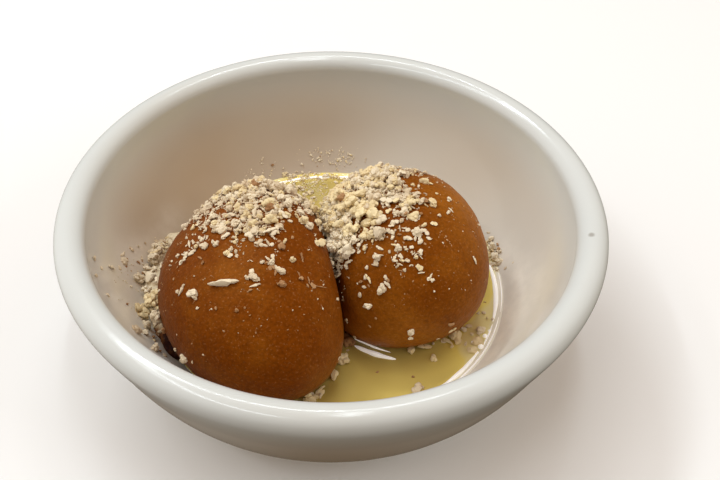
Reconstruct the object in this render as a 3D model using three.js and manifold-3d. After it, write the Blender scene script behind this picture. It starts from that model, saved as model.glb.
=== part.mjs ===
// Two gulab jamuns lying in sugar syrup under chopped nuts, in a small white dessert bowl.
// Millimetres, +Z up; the origin is the middle of the bowl's foot, on the table.
import * as THREE from 'three';
import { mergeVertices } from 'three/addons/utils/BufferGeometryUtils.js';
import Module from 'manifold-3d';

const wasm = await Module();
wasm.setup();

const GAP = 0.3; // clearance between pieces that touch

// The bowl: a thick glazed wall that ends in a round bead and stands on a foot ring.
const RIM_RADIUS = 63.5;
const RIM_HEIGHT = 43.6;
const BEAD_RADIUS = 3.5;
const BEAD_OVERHANG = 1.1; // how far the bead stands out from the wall under it
const BEAD_TURN = Math.PI / 5; // how far round its underside the bead goes before the wall
const OUTSIDE_PULL_LOW = [51.3, 7.9]; // the outer wall's curve heads here from the foot
const OUTSIDE_PULL_HIGH = [56.3, 17.6]; // and through here to the bead
const FLOOR_HEIGHT = 6.3;
const FLOOR_RADIUS = 27;
const INSIDE_FULLNESS = 1.6; // 1 makes the inside a cone, 2 an ellipse
const FOOT_RADIUS = 33.6;
const FOOT_HEIGHT = 3;
const FOOT_WIDTH = 4;
const FOOT_CHAMFER = 0.7;
const RECESS_HEIGHT = 1.6; // the underside inside the foot ring
const BEAD_HEIGHT = RIM_HEIGHT - BEAD_RADIUS;
const INSIDE_RIM_RADIUS = RIM_RADIUS - 2 * BEAD_RADIUS;
const BOWL_SIDES = 48;
const OUTSIDE_STEPS = 9;
const BEAD_STEPS = 5;
const INSIDE_STEPS = 10;

// The syrup and the sweets.
const SYRUP_LEVEL = 14.2;
const SYRUP_SIDES = 44;
const POOL_STEPS = 5;
const SWEET_DETAIL = 6;
const LUMP_SHARPNESS = 3;
const CONTACT_TURN = 13; // degrees from +X of the line across which the two sweets press
const CONTACT_OFFSET = -2.4; // distance of the pressed faces from the bowl's axis
const CONTACT_SOFTNESS = 1.3; // width of the roll from the round side to the pressed face
const FLOOR_SOFTNESS = 0.4;
const SWEETS = {
  left: {
    side: 1,
    centre: [-18.2, -11.4, 25.9],
    radii: [22, 30.4, 19.8],
    turn: 15,
    // Bulges and hollows of the hand-rolled dough, each a share of the radius at a bearing.
    lumps: [
      { azimuth: 0, elevation: 5, height: -0.057 },
      { azimuth: 120, elevation: 5, height: -0.095 },
      { azimuth: 180, elevation: 5, height: 0.06 },
      { azimuth: 300, elevation: 5, height: 0.072 },
      { azimuth: 30, elevation: 50, height: 0.072 },
      { azimuth: 120, elevation: 50, height: -0.113 },
    ],
  },
  right: {
    side: -1,
    centre: [17, -3.9, 25.4],
    radii: [20.6, 24.5, 19.5],
    turn: 22,
    lumps: [
      { azimuth: 0, elevation: 5, height: -0.083 },
      { azimuth: 13, elevation: 31, height: 0.083 },
      { azimuth: 240, elevation: 5, height: -0.025 },
      { azimuth: 30, elevation: 50, height: 0.046 },
      { azimuth: 120, elevation: 50, height: 0.029 },
      { azimuth: 180, elevation: -40, height: 0.082 },
      { azimuth: 270, elevation: -40, height: -0.137 },
    ],
  },
};

// Drifts of chopped nuts, seen from above: middle, spread, number and size of the bits.
// Pile is how high they lie heaped on each other.
const NUTS_LEFT = [
  { x: -20, y: 3, spreadX: 5.5, spreadY: 5, bits: 46, size: 2.4, pile: 1.2 },
  { x: -19, y: -8, spreadX: 7.5, spreadY: 4, bits: 28, size: 2, pile: 0 },
  { x: -18, y: -19, spreadX: 8, spreadY: 3.5, bits: 7, size: 1.6, pile: 0 },
];
const NUTS_RIGHT = [
  { x: 4, y: 0, spreadX: 3.5, spreadY: 5, bits: 48, size: 2.8, pile: 2.2 },
  { x: 11, y: 3, spreadX: 6, spreadY: 6, bits: 28, size: 2.3, pile: 0.5 },
  { x: 11, y: -10, spreadX: 7, spreadY: 4, bits: 18, size: 2, pile: 0 },
  { x: 26, y: -3, spreadX: 4, spreadY: 8, bits: 7, size: 1.7, pile: 0 },
];
const NUTS_AFLOAT = [
  { x: -3, y: 35, spreadX: 4, spreadY: 2.8, bits: 22, size: 2.8, pile: 1.6 },
  { x: 37, y: 13, spreadX: 1.5, spreadY: 6, bits: 6, size: 2.3, pile: 0 },
  { x: 28, y: -21, spreadX: 6, spreadY: 3.5, bits: 8, size: 2, pile: 0 },
  { x: 1, y: -24, spreadX: 1.5, spreadY: 5, bits: 5, size: 2, pile: 0 },
];
const MIN_SPACING = 1; // bits lie at least this far apart, seen from above
const MIN_UPRIGHTNESS = 0.3; // bits slide off a surface whose normal has less +Z than this

// The heap caught between the left sweet and the wall: its bearings from the axis, in degrees,
// the lumps of its core and the bits that lie on them.
const HEAP_START = 164;
const HEAP_END = 210;
const HEAP_CORE_LUMPS = 8;
const HEAP_CORE_RADIUS = 2.8;
const HEAP_CORE_STRETCH = 1.7;
const HEAP_BITS_PER_LUMP = 3;
const HEAP_BIT_SIZE = 3.4;

const COLOURS = {
  bowl: 0xe8e5de,
  syrup: 0x9a7b34,
  sweet: 0x7f4311,
  nuts: 0xe9dcb4,
};

// Seeded random numbers, so that every run strews the nuts alike.
function makeRandom(seed) {
  let state = seed;
  return () => {
    state = (state * 1664525 + 1013904223) % 4294967296;
    return state / 4294967296;
  };
}

// A number that falls round 0 with a spread of 1.
function bell(random) {
  return Math.sqrt(-2 * Math.log(1 - random())) * Math.cos(2 * Math.PI * random());
}

function bearing(azimuth, elevation) {
  const a = THREE.MathUtils.degToRad(azimuth);
  const e = THREE.MathUtils.degToRad(elevation);
  return new THREE.Vector3(Math.cos(e) * Math.cos(a), Math.cos(e) * Math.sin(a), Math.sin(e));
}

// A closed geometry with its shared vertices merged, and no other attributes.
function welded(geometry) {
  const bare = geometry.clone();
  bare.deleteAttribute('normal');
  bare.deleteAttribute('uv');
  return mergeVertices(bare, 1e-4);
}

function solidOf(geometry) {
  const merged = welded(geometry);
  return new wasm.Manifold(new wasm.Mesh({
    numProp: 3,
    vertProperties: merged.attributes.position.array,
    triVerts: new Uint32Array(merged.index.array),
  }));
}

function geometryOf(solid) {
  const mesh = solid.getMesh();
  const geometry = new THREE.BufferGeometry();
  geometry.setAttribute('position', new THREE.BufferAttribute(mesh.vertProperties, 3));
  geometry.setIndex(new THREE.BufferAttribute(mesh.triVerts, 1));
  geometry.computeVertexNormals();
  return geometry;
}

// The largest body of a solid: loose scraps go, and hollows that are sealed in are filled.
function mainBody(solid) {
  return solid.decompose().reduce((best, body) => (body.volume() > best.volume() ? body : best));
}

// A profile of radius and height turned about +Z.
function turned(profile, sides) {
  return new THREE.LatheGeometry(profile, sides).rotateX(Math.PI / 2);
}

// The radius of the bowl's inside at a height: it curves up from the flat floor to the bead.
function insideRadius(height) {
  const rise = THREE.MathUtils.clamp((height - FLOOR_HEIGHT) / (BEAD_HEIGHT - FLOOR_HEIGHT), 0, 1);
  const outward = (1 - (1 - rise) ** INSIDE_FULLNESS) ** (1 / INSIDE_FULLNESS);
  return FLOOR_RADIUS + (INSIDE_RIM_RADIUS - FLOOR_RADIUS) * outward;
}

// The inside's outline between two heights, with its points closest where it curves most.
function insideProfile(bottom, top, steps) {
  const points = [];
  for (let i = 0; i <= steps; i += 1) {
    const height = bottom + (top - bottom) * (i / steps) ** 2;
    points.push(new THREE.Vector2(insideRadius(height), height));
  }
  return points;
}

function bowlGeometry() {
  const wallTop = BEAD_HEIGHT - BEAD_RADIUS * 0.7;
  const wallTopRadius = RIM_RADIUS - BEAD_OVERHANG;
  const beadMiddle = RIM_RADIUS - BEAD_RADIUS;
  const footInside = FOOT_RADIUS - FOOT_WIDTH;
  const outline = new THREE.Path();
  outline.moveTo(0, RECESS_HEIGHT);
  outline.lineTo(footInside - FOOT_CHAMFER, RECESS_HEIGHT);
  outline.lineTo(footInside, FOOT_CHAMFER);
  outline.lineTo(footInside + FOOT_CHAMFER, 0);
  outline.lineTo(FOOT_RADIUS - FOOT_CHAMFER, 0);
  outline.lineTo(FOOT_RADIUS, FOOT_CHAMFER);
  outline.lineTo(FOOT_RADIUS + FOOT_CHAMFER, FOOT_HEIGHT);
  outline.bezierCurveTo(...OUTSIDE_PULL_LOW, ...OUTSIDE_PULL_HIGH, wallTopRadius, wallTop);
  const outside = outline.getPoints(OUTSIDE_STEPS);
  const bead = new THREE.Path();
  bead.absarc(beadMiddle, BEAD_HEIGHT, BEAD_RADIUS, -BEAD_TURN, Math.PI, false);
  const inside = insideProfile(FLOOR_HEIGHT, BEAD_HEIGHT, INSIDE_STEPS).reverse().slice(1);
  const axis = new THREE.Vector2(0, FLOOR_HEIGHT);
  return turned([...outside, ...bead.getPoints(BEAD_STEPS), ...inside, axis], BOWL_SIDES);
}

// The space inside the bowl between two heights, clear of its wall.
function insideSpace(bottom, top, steps) {
  const wall = insideProfile(bottom - GAP, top - GAP, steps);
  return turned([
    new THREE.Vector2(0, bottom),
    ...wall.map((point) => new THREE.Vector2(point.x - GAP, point.y + GAP)),
    new THREE.Vector2(0, top),
  ], SYRUP_SIDES);
}

// Presses a distance past a plane back to a limit, with a soft roll where the face begins.
function pressed(distance, limit, softness) {
  return limit - softness * Math.log1p(Math.exp((limit - distance) / softness));
}

// One sweet: a lumpy ellipsoid, pressed flat against its neighbour and on the bowl's floor.
// Grown makes it that much larger all round, for what is cut to fit round it.
function sweetGeometry({ side, centre, radii, turn, lumps }, grown = 0) {
  const geometry = welded(new THREE.IcosahedronGeometry(1, SWEET_DETAIL));
  const position = geometry.attributes.position;
  const across = bearing(CONTACT_TURN, 0);
  const middle = new THREE.Vector3(...centre);
  const up = new THREE.Vector3(0, 0, 1);
  const ways = lumps.map(({ azimuth, elevation }) => bearing(azimuth, elevation));
  const point = new THREE.Vector3();
  for (let i = 0; i < position.count; i += 1) {
    point.fromBufferAttribute(position, i).normalize();
    const swell = lumps.reduce(
      (sum, lump, k) => sum + lump.height * Math.exp(LUMP_SHARPNESS * (point.dot(ways[k]) - 1)),
      1,
    );
    point.set(
      point.x * (radii[0] * swell + grown),
      point.y * (radii[1] * swell + grown),
      point.z * (radii[2] * swell + grown),
    );
    point.applyAxisAngle(up, THREE.MathUtils.degToRad(turn)).add(middle);
    const over = (point.dot(across) - CONTACT_OFFSET) * side;
    const shift = pressed(over, grown - GAP / 2, CONTACT_SOFTNESS) - over;
    point.addScaledVector(across, shift * side);
    point.z = FLOOR_HEIGHT - pressed(FLOOR_HEIGHT - point.z, grown - GAP, FLOOR_SOFTNESS);
    position.setXYZ(i, point.x, point.y, point.z);
  }
  geometry.computeVertexNormals();
  return geometry;
}

// One bit of chopped nut: a small uneven shard, turned any way.
function nutBit(random, place, size) {
  const geometry = welded(new THREE.OctahedronGeometry(0.62));
  const position = geometry.attributes.position;
  const jitter = () => 0.3 * (random() - 0.5);
  for (let i = 0; i < position.count; i += 1) {
    position.setXYZ(
      i,
      position.getX(i) + jitter(),
      position.getY(i) + jitter(),
      position.getZ(i) + jitter(),
    );
  }
  geometry.scale(size, size * (0.65 + 0.3 * random()), size * (0.5 + 0.25 * random()));
  const turn = () => 2 * Math.PI * random();
  geometry.applyMatrix4(new THREE.Matrix4().makeRotationFromEuler(
    new THREE.Euler(turn(), turn(), turn()),
  ));
  geometry.translate(place.x, place.y, place.z);
  return solidOf(geometry);
}

// Strews drifts of bits over a surface, the largest bits first, and gives their solids.
// A bit lands where a plumb line meets the surface, half sunk in it or up on the pile.
function strew(seed, surface, drifts) {
  const random = makeRandom(seed);
  const ray = new THREE.Raycaster();
  const down = new THREE.Vector3(0, 0, -1);
  const target = new THREE.Mesh(surface);
  const landed = [];
  for (const drift of drifts) {
    const wanted = landed.length + drift.bits;
    for (let tries = 0; landed.length < wanted && tries < 10 * drift.bits; tries += 1) {
      const x = drift.x + drift.spreadX * bell(random);
      const y = drift.y + drift.spreadY * bell(random);
      const size = drift.size * (0.65 + 0.7 * (wanted - landed.length) / drift.bits);
      const rise = drift.pile * random();
      ray.set(new THREE.Vector3(x, y, 2 * RIM_HEIGHT), down);
      const [hit] = ray.intersectObject(target);
      const crowded = landed.some((bit) => Math.hypot(bit.x - x, bit.y - y) < MIN_SPACING);
      if (hit && hit.face.normal.z > MIN_UPRIGHTNESS && (!crowded || rise > size / 3)) {
        const place = hit.point.clone().addScaledVector(hit.face.normal, size / 8 + rise);
        landed.push({ x, y, solid: nutBit(random, place, size) });
      }
    }
  }
  return landed.map((bit) => bit.solid);
}

function joined(solids) {
  return wasm.Manifold.union(solids);
}

// Everything on one side of the plane across which the sweets press.
function halfSpace(side) {
  const reach = 2 * RIM_RADIUS;
  const block = new THREE.BoxGeometry(reach, 2 * reach, 2 * reach);
  block.translate(-side * (reach / 2 + GAP / 2), 0, 0);
  block.translate(CONTACT_OFFSET, 0, 0);
  block.rotateZ(THREE.MathUtils.degToRad(CONTACT_TURN));
  return solidOf(block);
}

const aboveSyrup = solidOf(insideSpace(SYRUP_LEVEL + GAP, BEAD_HEIGHT, INSIDE_STEPS));
const grownSweets = joined([
  solidOf(sweetGeometry(SWEETS.left, GAP)),
  solidOf(sweetGeometry(SWEETS.right, GAP)),
]);

function sweetWithNuts(sweet, seed, drifts) {
  const bare = sweetGeometry(sweet);
  const whole = joined([solidOf(bare), ...strew(seed, bare, drifts)]);
  return mainBody(whole.intersect(halfSpace(sweet.side)));
}

function syrupWithNuts() {
  const pool = insideSpace(FLOOR_HEIGHT + GAP, SYRUP_LEVEL, POOL_STEPS);
  const room = solidOf(insideSpace(FLOOR_HEIGHT + GAP, BEAD_HEIGHT, INSIDE_STEPS));
  const bits = joined(strew(3, pool, NUTS_AFLOAT)).intersect(room);
  return mainBody(solidOf(pool).add(bits).subtract(grownSweets));
}

// The heap is a row of lumps along the syrup's edge, with bits on their upper, inner sides.
function heapWithNuts() {
  const random = makeRandom(4);
  const solids = [];
  for (let i = 0; i < HEAP_CORE_LUMPS; i += 1) {
    const angle = HEAP_START + (HEAP_END - HEAP_START) * i / (HEAP_CORE_LUMPS - 1);
    const height = SYRUP_LEVEL + HEAP_CORE_RADIUS * (0.4 + 0.9 * random());
    const middle = bearing(angle, 0);
    middle.multiplyScalar(insideRadius(height) - HEAP_CORE_RADIUS / 2).setZ(height);
    const lump = new THREE.IcosahedronGeometry(HEAP_CORE_RADIUS, 1);
    lump.scale(1, HEAP_CORE_STRETCH, 1).rotateZ(THREE.MathUtils.degToRad(angle));
    solids.push(solidOf(lump.translate(middle.x, middle.y, middle.z)));
    for (let bit = 0; bit < HEAP_BITS_PER_LUMP; bit += 1) {
      const away = bearing(angle + 180 + 140 * (random() - 0.5), 20 + 70 * random());
      const place = middle.clone().addScaledVector(away, HEAP_CORE_RADIUS);
      solids.push(nutBit(random, place, HEAP_BIT_SIZE * (0.6 + 0.6 * random())));
    }
  }
  return mainBody(joined(solids).intersect(aboveSyrup).subtract(grownSweets));
}

function piece(name, geometry, colour, roughness) {
  const material = new THREE.MeshStandardMaterial({ color: colour, roughness, metalness: 0 });
  const mesh = new THREE.Mesh(geometry, material);
  mesh.name = name;
  return mesh;
}

const dessert = new THREE.Group();
dessert.add(piece('bowl', bowlGeometry(), COLOURS.bowl, 0.15));
dessert.add(piece('syrup', geometryOf(syrupWithNuts()), COLOURS.syrup, 0.08));
dessert.add(piece(
  'gulab_jamun_left',
  geometryOf(sweetWithNuts(SWEETS.left, 1, NUTS_LEFT)),
  COLOURS.sweet,
  0.4,
));
dessert.add(piece(
  'gulab_jamun_right',
  geometryOf(sweetWithNuts(SWEETS.right, 2, NUTS_RIGHT)),
  COLOURS.sweet,
  0.4,
));
dessert.add(piece('nut_heap', geometryOf(heapWithNuts()), COLOURS.nuts, 0.8));

export default dessert;
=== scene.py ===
"""Two fried milk sweets in sugar syrup under chopped nuts, in a small white glazed bowl.

Each operator makes one piece, or one group of like pieces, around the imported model."""

import math

import bmesh
import bpy
import numpy as np
from bpy.props import (FloatProperty, FloatVectorProperty, IntProperty, PointerProperty)
from mathutils import Euler, Matrix, Vector, noise
from mathutils.bvhtree import BVHTree


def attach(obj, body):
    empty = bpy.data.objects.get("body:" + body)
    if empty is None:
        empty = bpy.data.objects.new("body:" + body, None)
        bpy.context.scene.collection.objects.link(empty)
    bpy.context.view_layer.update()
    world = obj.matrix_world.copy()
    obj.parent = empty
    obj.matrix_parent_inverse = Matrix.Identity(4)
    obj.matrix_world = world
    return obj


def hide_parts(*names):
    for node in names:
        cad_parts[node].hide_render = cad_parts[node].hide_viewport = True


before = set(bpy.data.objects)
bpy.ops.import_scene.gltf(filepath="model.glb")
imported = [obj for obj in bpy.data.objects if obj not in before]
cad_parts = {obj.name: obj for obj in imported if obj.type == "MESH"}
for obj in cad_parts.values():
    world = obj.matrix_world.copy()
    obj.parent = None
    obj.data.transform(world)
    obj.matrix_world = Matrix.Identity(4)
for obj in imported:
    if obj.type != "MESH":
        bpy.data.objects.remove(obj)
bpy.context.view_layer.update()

bl_info = {
    "name": "Sweets in syrup",
    "version": (1, 0, 0),
    "blender": (4, 5, 0),
    "location": "3D View > Sidebar > Dessert",
    "description": "Fried milk sweets in syrup in a glazed bowl, strewn with chopped nuts",
    "category": "Object",
}

MM = 0.001  # metres in a millimetre: shapes are worked out in millimetres
BODY = "root"

# The bowl, in millimetres.
BEAD_RADIUS = 3.5
BEAD_OVERHANG = 1.1
NECK_START = 0.86  # share of the wall's curve after which it rounds into the bead
NECK_END = 12  # degrees below level at which the bead begins
NECK_HANDLE = 1.9
OUTSIDE_PULL_LOW = (51.3, 7.9)
OUTSIDE_PULL_HIGH = (56.3, 17.6)
FLOOR_HEIGHT = 6.3
FLOOR_RADIUS = 27
INSIDE_FULLNESS = 1.6
FOOT_RADIUS = 33.6
FOOT_HEIGHT = 3
FOOT_WIDTH = 4
FOOT_ROUND = 0.7
RECESS_HEIGHT = 1.6
RIM_RADIUS = 63.5
RIM_HEIGHT = 43.6
BEAD_HEIGHT = RIM_HEIGHT - BEAD_RADIUS
INSIDE_RIM_RADIUS = RIM_RADIUS - 2 * BEAD_RADIUS

# The sweets, in millimetres: the ellipsoid, its bulges and hollows, and the plane that they share.
LUMP_SHARPNESS = 3
CONTACT_TURN = 13
CONTACT_OFFSET = -2.4
CONTACT_SOFTNESS = 1.3
CONTACT_GAP = 0.15
FLOOR_SOFTNESS = 0.4
FLOOR_GAP = 0.3
SWEETS = {
    "left": {
        "side": 1,
        "centre": (-18.2, -11.4, 25.9),
        "radii": (22, 30.4, 19.8),
        "turn": 15,
        "lumps": (
            (0, 5, -0.057),
            (120, 5, -0.095),
            (180, 5, 0.06),
            (300, 5, 0.072),
            (30, 50, 0.072),
            (120, 50, -0.113),
        ),
    },
    "right": {
        "side": -1,
        "centre": (17, -3.9, 25.4),
        "radii": (20.6, 24.5, 19.5),
        "turn": 22,
        "lumps": (
            (0, 5, -0.083),
            (13, 31, 0.083),
            (240, 5, -0.025),
            (30, 50, 0.046),
            (120, 50, 0.029),
            (180, -40, 0.082),
            (270, -40, -0.137),
        ),
    },
}


# ---------------------------------------------------------------- helpers


def linear(code):
    """The linear colour of an sRGB hex value."""
    parts = [int(code[i : i + 2], 16) / 255 for i in (1, 3, 5)]
    return [p / 12.92 if p <= 0.04045 else ((p + 0.055) / 1.055) ** 2.4 for p in parts]


def opaque(colour):
    """A colour with full alpha, as sockets and ramps want it."""
    return (*colour[:3], 1)


def new_material(name):
    """An empty node material and its tree."""
    material = bpy.data.materials.new(name)
    material.use_nodes = True
    material.node_tree.nodes.clear()
    return material, material.node_tree


def add(tree, kind, inputs=None, stops=None, **settings):
    """A new node with its settings, its ramp's stops, and its sockets set or linked.

    A socket is linked to another socket, or to the first that a node gives out."""
    made = tree.nodes.new("ShaderNode" + kind)
    for name, value in settings.items():
        setattr(made, name, value)
    if stops:
        ramp = made.color_ramp.elements
        while len(ramp) < len(stops):
            ramp.new(0.5)
        for element, (place, colour) in zip(ramp, stops):
            element.position = place
            element.color = opaque(colour)
    for name, value in (inputs or {}).items():
        if isinstance(value, bpy.types.Node):
            value = next(socket for socket in value.outputs if socket.enabled)
        if isinstance(value, bpy.types.NodeSocket):
            tree.links.new(value, made.inputs[name])
        else:
            made.inputs[name].default_value = value
    return made


def colour_setting(name, description, default):
    """A colour that a user can change, linear, with its default."""
    return FloatVectorProperty(
        name=name, description=description, subtype="COLOR", default=default, min=0, max=1
    )


def bearing(azimuth, elevation=0):
    """The unit vector at an azimuth and elevation in degrees."""
    a, e = math.radians(azimuth), math.radians(elevation)
    return np.array((math.cos(e) * math.cos(a), math.cos(e) * math.sin(a), math.sin(e)))


def coordinates(mesh):
    """The mesh's vertices as an array."""
    flat = np.empty(len(mesh.vertices) * 3)
    mesh.vertices.foreach_get("co", flat)
    return flat.reshape(-1, 3)


def set_coordinates(mesh, points):
    mesh.vertices.foreach_set("co", np.asarray(points, float).ravel())
    mesh.update()


def paint(mesh, name, value):
    """Gives the mesh's points an attribute that its finish reads."""
    layer = mesh.attributes.new(name, "FLOAT", "POINT")
    layer.data.foreach_set("value", value.astype(np.float32))


def place_piece(name, mesh, material, nodes=()):
    """Names the mesh's object, ties it to the body, and hides the parts of the model that it stands for."""
    mesh.materials.append(material)
    mesh.shade_smooth()
    piece = bpy.data.objects.new(name, mesh)
    bpy.context.collection.objects.link(piece)
    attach(piece, BODY)
    if nodes:
        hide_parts(*nodes)
    return piece


def mesh_from(bm, name):
    """The bmesh, made in millimetres, as a mesh in metres with its faces outward."""
    bmesh.ops.scale(bm, vec=(MM, MM, MM), verts=bm.verts)
    bmesh.ops.recalc_face_normals(bm, faces=bm.faces)
    mesh = bpy.data.meshes.new(name)
    bm.to_mesh(mesh)
    bm.free()
    return mesh


def turned(profile, sides):
    """A bmesh of a profile of radius and height spun about +Z, closed where it meets the axis."""
    bm = bmesh.new()
    verts = [bm.verts.new((r, 0, z)) for r, z in profile]
    edges = [bm.edges.new(pair) for pair in zip(verts, verts[1:])]
    bmesh.ops.spin(
        bm,
        geom=verts + edges,
        cent=(0, 0, 0),
        axis=(0, 0, 1),
        angle=2 * math.pi,
        steps=sides,
        use_merge=True,
    )
    bmesh.ops.remove_doubles(bm, verts=bm.verts, dist=1e-4)
    return bm


# ---------------------------------------------------------------- shapes in millimetres


def inside_radius(height):
    """The radius of the bowl's inside at a height."""
    rise = np.clip((height - FLOOR_HEIGHT) / (BEAD_HEIGHT - FLOOR_HEIGHT), 0, 1)
    outward = (1 - (1 - rise) ** INSIDE_FULLNESS) ** (1 / INSIDE_FULLNESS)
    return FLOOR_RADIUS + (INSIDE_RIM_RADIUS - FLOOR_RADIUS) * outward


def curve_point(points, t):
    """The point at t on the Bezier curve of four points."""
    a, b, c, d = (np.array(p, float) for p in points)
    return ((1 - t) ** 3 * a + 3 * (1 - t) ** 2 * t * b + 3 * (1 - t) * t**2 * c + t**3 * d)


def bowl_profile():
    """The bowl's outline from the middle of its underside round to the middle of its floor."""
    foot_inside = FOOT_RADIUS - FOOT_WIDTH
    wall_foot = (FOOT_RADIUS + FOOT_ROUND, FOOT_HEIGHT)
    wall_top = (RIM_RADIUS - BEAD_OVERHANG, BEAD_HEIGHT - BEAD_RADIUS * 0.7)
    wall = (wall_foot, OUTSIDE_PULL_LOW, OUTSIDE_PULL_HIGH, wall_top)
    bead_middle = RIM_RADIUS - BEAD_RADIUS
    points = [(r, RECESS_HEIGHT) for r in np.linspace(0, foot_inside - FOOT_ROUND, 12)]
    points += [
        (foot_inside - 0.2, 1.3),
        (foot_inside, FOOT_ROUND),
        (foot_inside + 0.2, 0.2),
        (foot_inside + FOOT_ROUND, 0),
        (FOOT_RADIUS - FOOT_WIDTH / 2, 0),
        (FOOT_RADIUS - FOOT_ROUND, 0),
        (FOOT_RADIUS - 0.2, 0.2),
        (FOOT_RADIUS, FOOT_ROUND),
        (FOOT_RADIUS + 0.1, 1.6),
    ]
    points += [tuple(curve_point(wall, t)) for t in np.linspace(0, NECK_START, 27)]
    # The glaze rounds the neck between the wall and the bead.
    below, above = points[-1], math.radians(-NECK_END)
    bead = np.array((math.cos(above), math.sin(above)))
    along = np.array(curve_point(wall, NECK_START + 0.01)) - below
    along /= np.linalg.norm(along)
    top = np.array((bead_middle, BEAD_HEIGHT)) + BEAD_RADIUS * bead
    neck = (
        below, below + NECK_HANDLE * along, top - NECK_HANDLE * np.array((-bead[1], bead[0])), top
    )
    points += [tuple(curve_point(neck, t)) for t in np.linspace(0, 1, 12)[1:-1]]
    for angle in np.radians(np.linspace(-NECK_END, 180, 31)):
        points.append(
            (
                bead_middle + BEAD_RADIUS * math.cos(angle),
                BEAD_HEIGHT + BEAD_RADIUS * math.sin(angle),
            )
        )
    for share in np.linspace(1, 0, 41)[1:]:
        height = FLOOR_HEIGHT + (BEAD_HEIGHT - FLOOR_HEIGHT) * share**2
        points.append((float(inside_radius(height)), height))
    points += [(r, FLOOR_HEIGHT) for r in np.linspace(FLOOR_RADIUS, 0, 10)[1:]]
    return points


def pressed(distance, limit, softness):
    """Presses a distance past a plane back to a limit, with a soft roll where the face begins."""
    return limit - softness * np.logaddexp(0, (limit - distance) / softness)


def sweet_shape(ways, side, centre, radii, turn, lumps):
    """The points of a sweet in the unit directions that ways holds."""
    swell = np.ones(len(ways))
    for azimuth, elevation, height in lumps:
        swell += height * np.exp(LUMP_SHARPNESS * (ways @ bearing(azimuth, elevation) - 1))
    points = ways * np.array(radii) * swell[:, None]
    points = points @ np.array(Matrix.Rotation(math.radians(turn), 3, "Z")).T + centre
    across = bearing(CONTACT_TURN)
    over = (points @ across - CONTACT_OFFSET) * side
    shift = pressed(over, -CONTACT_GAP, CONTACT_SOFTNESS) - over
    points += np.outer(shift * side, across)
    sunk = FLOOR_HEIGHT - points[:, 2]
    points[:, 2] = FLOOR_HEIGHT - pressed(sunk, -FLOOR_GAP, FLOOR_SOFTNESS)
    return points


def tree_of(*names):
    """A search tree over the named pieces, in metres."""
    bm = bmesh.new()
    for name in names:
        bm.from_mesh(bpy.data.objects[name].data)
    tree = BVHTree.FromBMesh(bm)
    bm.free()
    return tree


# ---------------------------------------------------------------- settings


class BowlSettings(bpy.types.PropertyGroup):
    """The bowl's glaze."""

    lip: colour_setting("Lip", "Colour of the glaze on the lip", linear("#D1D4D2"))
    # The walls' colour is darker and browner than the lip's: painted bounce light from the brown sweets.
    wall: colour_setting(
        "Wall", "Colour of the glaze on the walls, where it lies thicker and warmer", linear("#D0C9BE"),
    )
    roughness: FloatProperty(
        name="Roughness",
        description="How far the glaze spreads a reflection",
        default=0.16,
        min=0,
        max=1,
        subtype="FACTOR",
    )
    film: colour_setting(
        "Film", "Colour of the milky syrup that dried on the wall", linear("#F1EADD"),
    )


class SyrupSettings(bpy.types.PropertyGroup):
    """The pool of sugar syrup."""

    level: FloatProperty(
        name="Level",
        description="Height of the syrup's surface over the table",
        default=14.2 * MM,
        unit="LENGTH",
    )
    meniscus: FloatProperty(
        name="Meniscus",
        description="How high the syrup climbs where it meets the bowl, a sweet or a nut",
        default=0.75 * MM,
        unit="LENGTH",
    )
    colour: colour_setting(
        "Colour", "What is left of white light in a thick layer of the syrup", (0.79, 0.64, 0.06),
    )
    density: FloatProperty(
        name="Density",
        description="How fast the syrup takes up light, per metre",
        default=40,
        min=0,
    )
    cloud: colour_setting(
        "Cloud", "Colour of the milk solids that cloud the syrup", (0.66, 0.50, 0.14),
    )
    # The beads' near-white colour is partly a painted highlight, and they glow with it.
    bead: colour_setting("Bead", "Colour of the thin beads along the waterline", (1.0, 0.98, 0.94))


class SweetSettings(bpy.types.PropertyGroup):
    """The skin of the two fried sweets."""

    light: colour_setting("Light skin", "Skin where it fried the least", linear("#9A5C17"))
    dark: colour_setting("Dark skin", "Skin where it fried the most", linear("#6E3505"))
    fleck: colour_setting("Fleck", "Colour of the milk solids dried on the skin", linear("#C08A5A"))
    relief: FloatProperty(
        name="Relief",
        description="Height of the dough's uneven surface",
        default=0.22 * MM,
        unit="LENGTH",
    )


class NutSettings(bpy.types.PropertyGroup):
    """The chopped nuts."""

    amount: FloatProperty(
        name="Amount",
        description="Share of the chopped nuts that are strewn",
        default=1,
        min=0,
        max=2,
        subtype="FACTOR",
    )
    seed: IntProperty(name="Seed", description="Changes how the nuts fall", default=7, min=0)
    ivory: colour_setting("Ivory", "Colour of the white shreds and granules", linear("#E7DABF"))
    yellow: colour_setting("Yellow", "Colour of the larger pale yellow lumps", linear("#E8D6AB"))
    meal: colour_setting("Meal", "Colour of the nut meal that the syrup bound", linear("#D9CAAB"))
    skin: colour_setting("Skin", "Colour of the bits that carry brown skin", linear("#B38C64"))


class StageSettings(bpy.types.PropertyGroup):
    """The floor, the lights and the camera."""

    floor: colour_setting("Floor", "Colour of the floor", (0.86, 0.86, 0.86))
    key: FloatProperty(
        name="Overhead light",
        description="Power of the overhead softbox, in watts",
        default=7,
        min=0,
    )
    lens: FloatProperty(
        name="Lens", description="Focal length of the camera, in millimetres", default=47.65, min=1
    )
    pitch: FloatProperty(
        name="Pitch",
        description="How far the camera is raised from looking straight down",
        default=math.radians(46.1),
        subtype="ANGLE",
    )


# ---------------------------------------------------------------- finishes


NICK = (0.0578, -0.0126, 0.0434)  # the middle of the nick on the rim, in metres
NICK_RADIUS = 0.0009
LIP_START, LIP_END = 0.027, 0.043  # heights between which the glaze turns paler, in metres


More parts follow.
